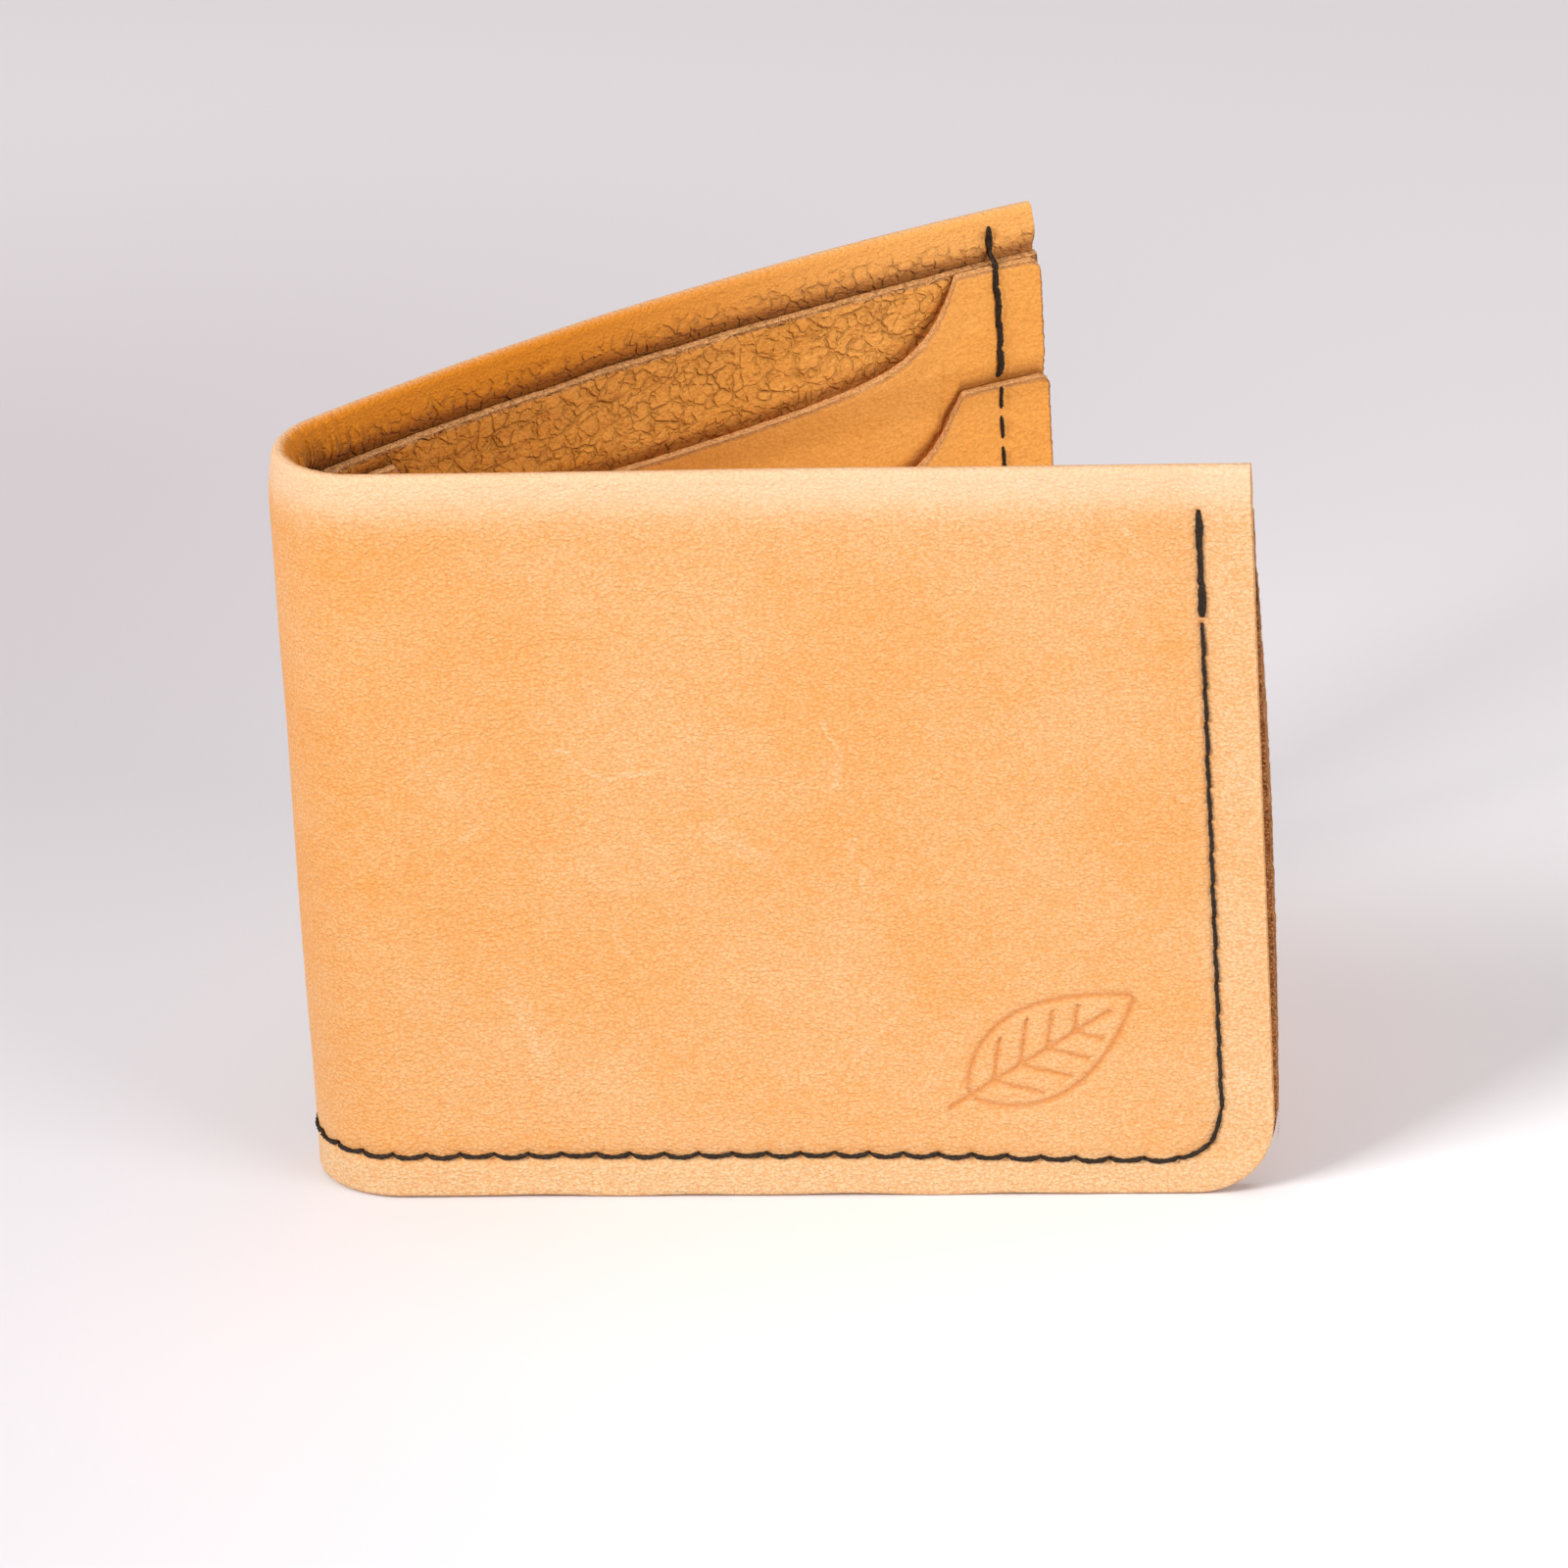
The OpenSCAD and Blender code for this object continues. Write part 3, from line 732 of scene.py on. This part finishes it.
def stitches(side, name, holes, radius, face, inward, sag, slant, material, gap=0.0, loose=0.04):
    """Twisted thread from hole to hole. face(s, z) is the depth of the leather that it lies on.
    It dives into the leather at each hole. inward is 1 on the outer face and -1 on the inner.
    sag bows a level stitch down, and loose lets any stitch stray to either side."""
    points, faces = [], []
    t = np.linspace(0, 1, STITCH_RINGS)
    angles = np.linspace(0, 2 * math.pi, STITCH_SIDES, endpoint=False)
    for (s0, z0), (s1, z1) in zip(holes[:-1], holes[1:]):
        ds, dz = s1 - s0, z1 - z0
        run = math.hypot(ds, dz)
        across = np.array([-dz, ds]) / run
        if abs(ds) > abs(dz) and across[1] > 0:
            across = -across
        level = abs(ds) / run
        bow = (0.05 + sag * level) * rng.uniform(0.75, 1.2) + loose * rng.uniform(-1, 1)
        swing = bow * np.sin(math.pi * t) + slant * (t - 0.5)
        f = gap / 2 + (1 - gap) * t
        s = s0 + ds * f + across[0] * swing
        z = z0 + dz * f + across[1] * swing
        up = smooth(np.minimum(t, 1 - t) / 0.13)
        sunk = inward * (0.16 * (1 - up) - radius * 0.72 * up)
        depth = face(s, z) + sunk + sway(side, s, z)
        line = on_half(side, s, depth, z)
        uneven = 1 + 0.13 * np.sin(2 * math.pi * (t * rng.uniform(1.2, 2.6) + rng.uniform()))
        tube = swept(line, radius * MM * (1 + 0.12 * level) * uneven * (0.62 + 0.38 * up), angles,
                     2 * math.pi * run * t / THREAD_LAY + rng.uniform(0, 6))
        base = len(points) * STITCH_RINGS * STITCH_SIDES
        points.append(tube)
        for r in range(STITCH_RINGS - 1):
            for k in range(STITCH_SIDES):
                n = (k + 1) % STITCH_SIDES
                a, b = base + r * STITCH_SIDES, base + (r + 1) * STITCH_SIDES
                faces.append((a + k, b + k, b + n, a + n))
        last = base + (STITCH_RINGS - 1) * STITCH_SIDES
        faces.append(tuple(base + k for k in range(STITCH_SIDES)))
        faces.append(tuple(last + k for k in reversed(range(STITCH_SIDES))))
    points = np.concatenate(points)
    values = {"leather": points / MM}
    return make_mesh(name, points, faces, values, material)


def swept(line, radius, angles, twist):
    """Rings round a line, three-lobed like plied thread, turning by twist along it."""
    ahead = np.gradient(line, axis=0)
    ahead /= np.linalg.norm(ahead, axis=1, keepdims=True)
    right = np.cross(ahead, np.array([0.31, 0.52, 0.8]))
    right /= np.linalg.norm(right, axis=1, keepdims=True)
    over = np.cross(right, ahead)
    lobes = 1 + 0.16 * np.cos(3 * (angles[None, :] - twist[:, None]))
    reach = radius[:, None] * lobes
    ring = (np.cos(angles)[None, :, None] * right[:, None] + np.sin(angles)[None, :, None] * over[:, None])
    return (line[:, None] + ring * reach[..., None]).reshape(-1, 3)


def outer_face(s, z):
    return SEAM_DENT + top_rounding(z) + 0 * s


def inner_face(side):
    def face(s, z):
        over_edge = smooth((z - DIVIDER_TOP + 0.1) / 1.3)
        pocket = UPPER_DEPTH + POCKET_T + hem_shift(z)
        pocket = pocket + (hem_face(side, s, z) + 0.16 - pocket) * over_edge
        lower = LOWER_DEPTH + POCKET_T + hem_shift(z) - settled(s, z)
        pocket = np.where(z < LOWER_TOP, lower, pocket)
        divider_only = DIVIDER_DEPTH + DIVIDER_T + hem_shift(z)
        return np.where(s < POCKET_START, divider_only, pocket) - 0.16
    return face


def doubled(side, name, holes, face, inward, material):
    """A backtack: the seam's end sewn over twice, so its thread is thick and uneven."""
    strands = []
    for k, offset in enumerate((-0.10, 0.13, 0.02)):
        moved = np.array(holes) + [offset, 0]
        moved[1:-1, 1] += (k - 1) * 0.7 + rng.uniform(-0.3, 0.3, len(holes) - 2)
        strands.append(stitches(side, name + str(k), moved, THREAD_R * 1.12, face, inward, 0.04,
                                0.12 * (k - 1), material, loose=0.22))
    return join(strands, name)


def join(pieces, name):
    """One mesh of several."""
    with bpy.context.temp_override(active_object=pieces[0], selected_editable_objects=pieces):
        bpy.ops.object.join()
    pieces[0].name = name
    pieces[0].data.name = name
    return pieces[0]


def thread_pieces(side, material):
    outer = stitches(side, side + "_outer_seam", OUTER_HOLES, THREAD_R, outer_face, 1, 0.27, 0.14, material)
    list(blend_line(side))
    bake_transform(outer)
    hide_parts(side + "_outer_seam_thread", "spine_outer_seam_thread")

    holes = seam_holes(LOWER_TOP, MID_FOLD)
    inner = stitches(side, side + "_inner_seam", holes, THREAD_R * 0.92, inner_face(side), -1, 0.03, 0.08,
                     material, gap=0.22)
    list(blend_line(side))
    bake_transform(inner)
    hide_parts(side + "_inner_seam_thread", "spine_inner_seam_thread")

    tack = doubled(side, side + "_outer_tack", BACKTACK_HOLES, outer_face, 1, material)
    ear = [(SEAM_S, z) for z in np.linspace(HEIGHT - 1.6, LOWER_TOP + 0.6, 6)]
    inner_tack = doubled(side, side + "_inner_tack", ear, inner_face(side), -1, material)
    z = BASE + 1.5
    base = stitches(side, side + "_pocket_base_seam",
                    [(s, z) for s in even(STEM_INSET + 4, LENGTH - STEM_INSET - 3)], THREAD_R * 0.8,
                    lambda s, z: UPPER_DEPTH + POCKET_T - 0.05 + 0 * s, -1, 0.04, 0.05, material)
    z = even(UPPER_TOP - 6, SEAM_Z + PITCH)
    edge = stitches(side, side + "_pocket_side_seam", [(POCKET_START + 2, v) for v in z], THREAD_R,
                    inner_face(side), -1, 0.05, 0.08, material)
    for piece, node in ((tack, "outer_backtack"), (inner_tack, "inner_backtack"),
                        (base, "pocket_base_thread"), (edge, "pocket_side_thread")):
        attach(piece, side + "_half")
        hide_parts(side + "_" + node)


# ---------- materials, with linear colours ----------

COVER_TAN = (0.815, 0.365, 0.092)
COVER_PALE = (0.83, 0.575, 0.315)
COVER_TOP_HIGHLIGHT = (0.84, 0.63, 0.45)
COVER_SPECK = (0.66, 0.20, 0.0)
COVER_SPOT = (0.16, 0.06, 0.03)
PRESSED_COVER_AND_HOLE_SHADE = (0.66, 0.225, 0.04)
SHADED_HEM_AT_FOLD = (0.69, 0.22, 0.0)
SHADED_HEM_AT_END = (0.91, 0.43, 0.11)
HEM_CREASE_SHADE = (0.34, 0.09, 0.006)
HEM_SHADE_LINE = (0.20, 0.05, 0.004)
INNER_TAN = (0.80, 0.285, 0.012)
INNER_PALE = (0.94, 0.44, 0.10)
INNER_SPECK = (0.50, 0.15, 0.006)
INNER_CREASE_SHADE = (0.42, 0.12, 0.004)
INNER_SHADE_LINE = (0.17, 0.04, 0.003)
RAW_DARK = (0.70, 0.28, 0.075)
RAW_PALE = (1.0, 0.58, 0.25)
RAW_END_FIBRES_AND_SHADE = (0.21, 0.045, 0.004)
THREAD_DARK = (0.016, 0.009, 0.005)
THREAD_DUST_AND_GLINT = (0.19, 0.12, 0.075)


class Graph:
    """A material's nodes, written as calls."""

    def __init__(self, name):
        self.material = bpy.data.materials.new(name)
        self.material.use_nodes = True
        self.nodes = self.material.node_tree.nodes
        self.links = self.material.node_tree.links
        self.nodes.clear()
        self.shader = self.node("BsdfPrincipled", {})
        self.node("OutputMaterial", {0: self.shader.outputs[0]})

    def put(self, socket, value):
        if isinstance(value, bpy.types.NodeSocket):
            self.links.new(value, socket)
        elif value is not None:
            socket.default_value = value

    def node(self, kind, inputs, **settings):
        """A new node. inputs are its sockets by name or number, each with a value or a link."""
        node = self.nodes.new("ShaderNode" + kind)
        for key, value in settings.items():
            setattr(node, key, value)
        for key, value in inputs.items():
            self.put(node.inputs[key], value)
        return node

    def attribute(self, name, vector=False):
        node = self.node("Attribute", {}, attribute_name=name)
        return node.outputs["Vector" if vector else "Fac"]

    def math(self, how, a, b=None, clamp=False):
        return self.node("Math", {0: a, 1: b}, operation=how, use_clamp=clamp).outputs[0]

    def scaled(self, vector, scale):
        return self.node("VectorMath", {0: vector, 1: scale}, operation="MULTIPLY").outputs[0]

    def noise(self, vector, scale, detail=3.0, rough=0.55, distort=0.0):
        inputs = {"Vector": vector, "Scale": scale, "Detail": detail, "Roughness": rough,
                  "Distortion": distort}
        return self.node("TexNoise", inputs).outputs["Fac"]

    def warped(self, vector, scale, reach):
        """The vector, pushed about by as much as reach."""
        stir = self.node("TexNoise", {"Vector": vector, "Scale": scale}).outputs["Color"]
        inputs = {0: stir, 1: (reach, reach, reach), 2: vector}
        return self.node("VectorMath", inputs, operation="MULTIPLY_ADD").outputs[0]

    def creases(self, vector, scale, width):
        """1 in the creases between pebbles of about 1 / scale, and 0 on the pebbles. Each crease
        fades in and out along its length."""
        stirred = self.warped(vector, 0.5, 1.7)
        edge = self.cells(stirred, scale, "DISTANCE_TO_EDGE")
        share = self.ramp(self.noise(vector, scale * 1.1, 2.0), 0.36, 0.60, 0.12, 1.0)
        return self.times(self.ramp(edge, width, 0.0), share)

    def cells(self, vector, scale, feature="F1"):
        node = self.node("TexVoronoi", {"Vector": vector, "Scale": scale}, feature=feature)
        return node.outputs["Distance"]

    def ramp(self, value, low, high, to_low=0.0, to_high=1.0):
        inputs = {"Value": value, "From Min": low, "From Max": high, "To Min": to_low, "To Max": to_high}
        return self.node("MapRange", inputs, interpolation_type="SMOOTHSTEP").outputs["Result"]

    def mix(self, share, a, b):
        a, b = [(*colour, 1.0) if isinstance(colour, tuple) else colour for colour in (a, b)]
        return self.node("Mix", {"Factor": share, 6: a, 7: b}, data_type="RGBA").outputs[2]

    def split(self, vector):
        return self.node("SeparateXYZ", {0: vector}).outputs

    def bump(self, height, strength, distance, normal=None):
        inputs = {"Height": height, "Strength": strength, "Distance": distance, "Normal": normal}
        return self.node("Bump", inputs).outputs["Normal"]

    def plus(self, a, b, clamp=False):
        return self.math("ADD", a, b, clamp)

    def minus(self, a, b):
        return self.math("SUBTRACT", a, b)

    def times(self, a, b):
        return self.math("MULTIPLY", a, b)

    def sum(self, first, *rest):
        for value in rest:
            first = self.plus(first, value)
        return first


def raw_leather(g, place):
    """The pinkish tan of cut leather, with its fibres: colour and height."""
    fibre = g.noise(g.scaled(place, (1.0, 1.0, 2.2)), 3.2, 5.0, 0.75)
    return g.mix(g.ramp(fibre, 0.42, 0.62), RAW_DARK, RAW_PALE), fibre


def leather_finish(g, colour, edge, fibre, pore, height, relief, fray, roughest, gloss):
    """Joins a leather's grain to its cut edges. relief is the strength and the depth in metres of
    the grain's bump, fray the strength of the fibres', and roughest and gloss are the grain's."""
    raw = g.attribute("raw")
    g.put(g.shader.inputs["Base Color"], g.mix(raw, colour, edge))
    rough = g.ramp(pore, 0.3, 0.7, 0.46, roughest)
    g.put(g.shader.inputs["Roughness"], g.plus(rough, g.times(raw, 0.3), clamp=True))
    g.shader.inputs["Specular IOR Level"].default_value = gloss
    normal = g.bump(height, *relief)
    normal = g.bump(g.times(fibre, raw), fray, 0.0003, normal)
    g.put(g.shader.inputs["Normal"], normal)
    return g.material


def scuffs(g, place, marks):
    """Faint pale scratches: each is (from s, from z, to s, to z, width, strength)."""
    x, y, _ = g.split(place)
    wander = g.times(g.minus(g.noise(place, 0.35, 2.0), 0.5), 3.0)
    x, y = g.plus(x, wander), g.plus(y, wander)
    broken = g.ramp(g.noise(place, 0.9, 4.0, 0.7), 0.38, 0.60, 0.25, 1.0)
    total = None
    for s0, z0, s1, z1, width, strength in marks:
        ds, dz = s1 - s0, z1 - z0
        length2 = ds * ds + dz * dz
        px, py = g.minus(x, s0), g.minus(y, z0)
        t = g.plus(g.times(px, ds / length2), g.times(py, dz / length2), clamp=True)
        dx, dy = g.minus(px, g.times(t, ds)), g.minus(py, g.times(t, dz))
        far = g.math("SQRT", g.plus(g.times(dx, dx), g.times(dy, dy)))
        mark = g.ramp(far, width * 0.2, width, strength, 0.0)
        total = mark if total is None else g.math("MAXIMUM", total, mark)
    return g.times(total, broken)


COVER_SCUFFS = [
    (21, 56, 26, 52, 0.55, 0.54), (26, 52, 31, 53, 0.5, 0.49), (50.5, 59, 52.5, 55, 0.55, 0.57),
    (52.5, 55, 51.5, 51, 0.55, 0.49), (38, 46, 43, 42, 2.4, 0.32), (53, 44, 54.5, 39, 0.7, 0.43),
    (52, 17, 59, 25, 0.4, 0.35), (82, 44, 86, 43.5, 0.5, 0.41), (88, 50, 92, 49.5, 0.5, 0.35),
    (14, 26, 17, 17, 1.6, 0.32), (85, 82, 87, 79, 0.8, 0.32), (8, 44, 12, 47, 0.6, 0.30),
    (26, 34, 28, 30, 0.5, 0.30),
]


def cover_paleness(g, place, top, strip, puckers):
    """From 0, the deepest tan, to 1, the pale margins. strip is the edge below the bottom seam, and top the
    band along the top edge, which is painted paler as a highlight.
    """
    u, z, _ = g.split(place)
    blotch = g.noise(g.scaled(place, (0.9, 1.1, 1.0)), 0.05, 3.0, 0.5)
    mottle = g.noise(g.scaled(place, (0.9, 1.1, 1.0)), 0.45, 5.0, 0.65)
    margin = g.ramp(u, 90.5, 95.5)
    fold = g.ramp(u, 26.0, -6.0)
    pale = g.math("MAXIMUM", g.times(margin, 0.40), g.times(strip, 0.50))
    pale = g.sum(pale, g.times(top, 0.25), g.ramp(blotch, 0.32, 0.68, 0.27, 0.53),
                 g.ramp(mottle, 0.3, 0.7, -0.10, 0.10), g.ramp(z, 40.0, 5.0, 0.0, 0.14))
    pale = g.minus(pale, g.times(fold, 0.14))
    pale = g.plus(pale, scuffs(g, place, COVER_SCUFFS), clamp=True)
    # Painted highlights: pale streaks on the puckers below the bottom seam.
    return g.plus(pale, g.times(strip, g.ramp(puckers, 0.50, 0.66, 0.0, 0.28)), clamp=True)


def cover_material():
    g = Graph("tan_cover_leather")
    place = g.attribute("leather", vector=True)
    u, z, depth = g.split(place)
    fine = g.cells(g.scaled(place, (1.95, 2.75, 2.2)), 1.0)
    pore = g.noise(g.scaled(place, (1.0, 1.25, 1.0)), 2.4, 4.0, 0.65)
    puckers = g.noise(g.scaled(place, (0.9, 0.16, 1.0)), 1.0, 3.0)
    top = g.ramp(z, 81.5, 88.0)
    strip = g.ramp(z, 5.8, 3.6)
    inside = g.ramp(depth, 1.1, 2.5)
    from_fold = g.math("ABSOLUTE", g.minus(u, MID_FOLD))

    colour = g.mix(cover_paleness(g, place, top, strip, puckers), COVER_TAN, COVER_PALE)
    # Painted highlight: the rounded top edge is painted towards a pale rim colour.
    colour = g.mix(g.times(top, 0.5), colour, COVER_TOP_HIGHLIGHT)
    # Painted shade: inside the half the cover's own leather is painted deeper and more saturated, darkest
    # by the fold and lighter towards the open end.
    hem = g.mix(g.ramp(from_fold, 40.0, 112.0), SHADED_HEM_AT_FOLD, SHADED_HEM_AT_END)
    colour = g.mix(inside, colour, hem)
    speck = g.times(g.ramp(fine, 0.22, 0.56), g.ramp(pore, 0.34, 0.62, 0.1, 1.0))
    darker = g.mix(0.52, colour, COVER_SPECK)
    colour = g.mix(g.times(speck, g.ramp(top, 0.0, 1.0, 1.0, 0.45)), colour, darker)

    puffed = g.times(inside, g.ramp(z, HEIGHT - 1.0, HEIGHT - 4.0))
    crease = g.times(g.creases(place, 0.52, 0.12), puffed)
    gathers = g.noise(g.scaled(place, (1.6, 0.16, 0.4)), 1.0, 3.0, 0.6)
    squeeze = g.times(inside, g.ramp(from_fold, 30.0, 12.0))
    wrinkle = g.times(g.ramp(gathers, 0.52, 0.36), g.times(squeeze, puffed))
    # Painted shade in the hem's creases and gathered wrinkles.
    dark = g.math("MAXIMUM", g.times(crease, 0.24), g.times(wrinkle, 0.42))
    colour = g.mix(dark, colour, HEM_CREASE_SHADE)
    spot = g.ramp(g.cells(place, 0.055), 0.016, 0.010)
    colour = g.mix(g.times(spot, 0.8), colour, COVER_SPOT)
    # Pressed marks, and painted shade: in the stitch holes outside, and along the hem's foot inside.
    pressed = g.mix(inside, PRESSED_COVER_AND_HOLE_SHADE, HEM_SHADE_LINE)
    colour = g.mix(g.times(g.attribute("press_and_shade"), 0.66), colour, pressed)

    edge, fibre = raw_leather(g, place)
    height = g.sum(g.times(fine, -0.7), g.times(pore, 0.9), g.times(g.times(puckers, strip), 2.2),
                   g.times(crease, -1.6), g.times(wrinkle, -1.8))
    g.shader.inputs["Sheen Weight"].default_value = 0.05
    g.shader.inputs["Sheen Roughness"].default_value = 0.5
    return leather_finish(g, colour, edge, fibre, pore, height, relief=(0.9, 0.00026), fray=0.8,
                          roughest=0.62, gloss=0.27)


def inner_material(name, milled):
    """The yellower leather inside, its deep saturated tan partly its own and partly painted shade of the
    enclosed inside. milled is how strongly its pebbles and creases show.
    """
    g = Graph(name)
    place = g.attribute("leather", vector=True)
    fine = g.cells(g.scaled(place, (1.8, 2.3, 2.0)), 1.0)
    large = g.creases(g.scaled(place, (1.0, 1.25, 1.0)), 0.24, 0.07)
    small = g.creases(place, 0.55, 0.11)
    crease = g.math("MAXIMUM", large, g.times(small, 0.7))
    pore = g.noise(place, 2.2, 4.0, 0.6)
    lumps = g.noise(g.scaled(place, (0.8, 1.2, 1.0)), 0.9, 3.0, 0.6, 0.6)
    blotch = g.noise(place, 0.06, 3.0, 0.5)
    from_fold = g.math("ABSOLUTE", g.minus(g.split(place)[0], MID_FOLD))

    cloudy = g.ramp(blotch, 0.35, 0.68, 0.15, 0.75)
    cloudy = g.plus(cloudy, g.ramp(pore, 0.3, 0.7, -0.12, 0.12), clamp=True)
    # Paler away from the fold: partly the leather's own tone, partly painted light where the inside is less
    # enclosed.
    paler_and_lit_away_from_fold = g.ramp(from_fold, 25.0, 115.0, 0.06 + 0.12 * milled, 0.65)
    pale = g.plus(g.times(cloudy, 0.35), paler_and_lit_away_from_fold, clamp=True)
    colour = g.mix(pale, INNER_TAN, INNER_PALE)
    speck = g.times(g.ramp(fine, 0.22, 0.58), g.ramp(pore, 0.36, 0.64, 0.15, 1.0))
    colour = g.mix(g.times(speck, 0.32 + 0.06 * milled), colour, INNER_SPECK)
    # Painted shade in the creases between the pebbles.
    colour = g.mix(g.times(crease, 0.30 * milled), colour, INNER_CREASE_SHADE)
    press_and_shade = g.attribute("press_and_shade")
    # Painted shade: dark lines just above the edges of the leathers that lie on this one.
    colour = g.mix(g.times(press_and_shade, 0.72), colour, INNER_SHADE_LINE)

    edge, fibre = raw_leather(g, place)
    # Marked cut ends and feet are painted darker: partly darker fibres, partly painted shade on the free
    # end.
    end_fibres_and_shade = g.times(press_and_shade, g.ramp(fibre, 0.36, 0.66, 0.95, 0.42))
    edge = g.mix(end_fibres_and_shade, edge, RAW_END_FIBRES_AND_SHADE)
    height = g.sum(g.times(fine, -0.6), g.times(pore, 0.8), g.times(lumps, 1.6),
                   g.times(crease, -2.0 * milled))
    return leather_finish(g, colour, edge, fibre, pore, height, relief=(0.5 + 0.4 * milled, 0.00024),
                          fray=0.9, roughest=0.64, gloss=0.22)


def thread_material():
    g = Graph("dark_waxed_thread")
    place = g.attribute("leather", vector=True)
    fibre = g.noise(place, 7.0, 3.0, 0.7)
    # Pale flecks along the thread: partly dusty fibres, partly painted glints of light.
    dust_and_glints = g.ramp(fibre, 0.54, 0.74)
    g.put(g.shader.inputs["Base Color"], g.mix(dust_and_glints, THREAD_DARK, THREAD_DUST_AND_GLINT))
    g.put(g.shader.inputs["Roughness"], g.ramp(fibre, 0.3, 0.7, 0.42, 0.7))
    g.shader.inputs["Specular IOR Level"].default_value = 0.2
    g.put(g.shader.inputs["Normal"], g.bump(fibre, 0.6, 0.00008))
    return g.material


# ---------- stage, light and camera ----------

def floor():
    g = Graph("pale_floor")
    coords = g.node("NewGeometry", {}).outputs["Position"]
    x, y, _ = g.split(coords)
    # Painted light: the floor's colour falls off towards the back and the left in place of the lamps'
    # falloff, and evens out to a lighter grey-lilac far back.
    back, left = g.ramp(y, 0.03, 0.20), g.ramp(x, 0.09, -0.12)
    right_side = g.mix(back, (0.94, 0.93, 0.95), (0.79, 0.75, 0.765))
    left_side = g.mix(back, (0.71, 0.69, 0.72), (0.66, 0.615, 0.635))
    near = g.mix(left, right_side, left_side)
    g.put(g.shader.inputs["Base Color"], g.mix(g.ramp(y, 0.20, 0.36), near, (0.82, 0.775, 0.79)))
    g.shader.inputs["Roughness"].default_value = 0.9
    g.shader.inputs["Specular IOR Level"].default_value = 0.1
    size = 3.0
    corners = np.array([(-size, -size, 0), (size, -size, 0), (size, size, 0), (-size, size, 0)])
    piece = make_mesh("floor", corners, [(0, 1, 2, 3)], {}, g.material)


def lamp(name, place, aim, size, power, colour):
    light = bpy.data.lights.new(name, "AREA")
    light.shape = "RECTANGLE"
    light.size, light.size_y = size
    light.energy = power
    light.color = colour
    holder = bpy.data.objects.new(name, light)
    holder.location = place
    holder.rotation_mode = "QUATERNION"
    holder.rotation_quaternion = (Vector(aim) - Vector(place)).to_track_quat("-Z", "Y")
    bpy.context.scene.collection.objects.link(holder)


def lights():
    middle = (0.0, 0.03, 0.045)
    lamp("key", (-0.70, -0.60, 0.70), middle, (0.45, 0.45), 12.0, (1.0, 0.985, 0.97))
    lamp("top", (0.10, 0.05, 1.3), middle, (1.0, 1.0), 5.0, (1.0, 0.99, 1.0))
    lamp("fill", (1.08, -0.64, 0.42), middle, (0.8, 0.8), 10.6, (1.0, 0.99, 0.99))
    world = bpy.data.worlds.new("studio")
    world.use_nodes = True
    world.node_tree.nodes["Background"].inputs[0].default_value = (0.97, 0.95, 0.98, 1.0)
    world.node_tree.nodes["Background"].inputs[1].default_value = 0.25
    bpy.context.scene.world = world
    bpy.context.scene.view_settings.view_transform = "Standard"


def camera():
    """Looks down at the wallet from the front, a little from its right, with a slight roll."""
    yaw, pitch, roll = math.radians(-6.52), math.radians(24.91), math.radians(-3.30)
    target, distance = Vector((-0.00147, 0.0294, 0.03758)), 1.24608
    ahead = Vector((math.sin(yaw) * math.cos(pitch), math.cos(yaw) * math.cos(pitch), -math.sin(pitch)))
    level = ahead.cross(Vector((0, 0, 1))).normalized()
    above = level.cross(ahead)
    right = level * math.cos(roll) + above * math.sin(roll)
    up = above * math.cos(roll) - level * math.sin(roll)
    lens = bpy.data.cameras.new("camera")
    lens.lens = 250.5
    lens.sensor_width = 36.0
    holder = bpy.data.objects.new("camera", lens)
    turn = Matrix((right, up, -ahead)).transposed().to_4x4()
    holder.matrix_world = Matrix.Translation(target - ahead * distance) @ turn
    bpy.context.scene.collection.objects.link(holder)
    bpy.context.scene.camera = holder


camera()
lights()
floor()

cover_leather, waxed_thread = cover_material(), thread_material()
divider_leather = inner_material("milled_divider_leather", 1.0)
pocket_leather = inner_material("smooth_pocket_leather", 0.12)
for half in ("front", "back"):
    cover(half, cover_leather)
    divider(half, divider_leather)
    upper_pocket(half, pocket_leather)
    lower_pocket(half, pocket_leather)
    thread_pieces(half, waxed_thread)
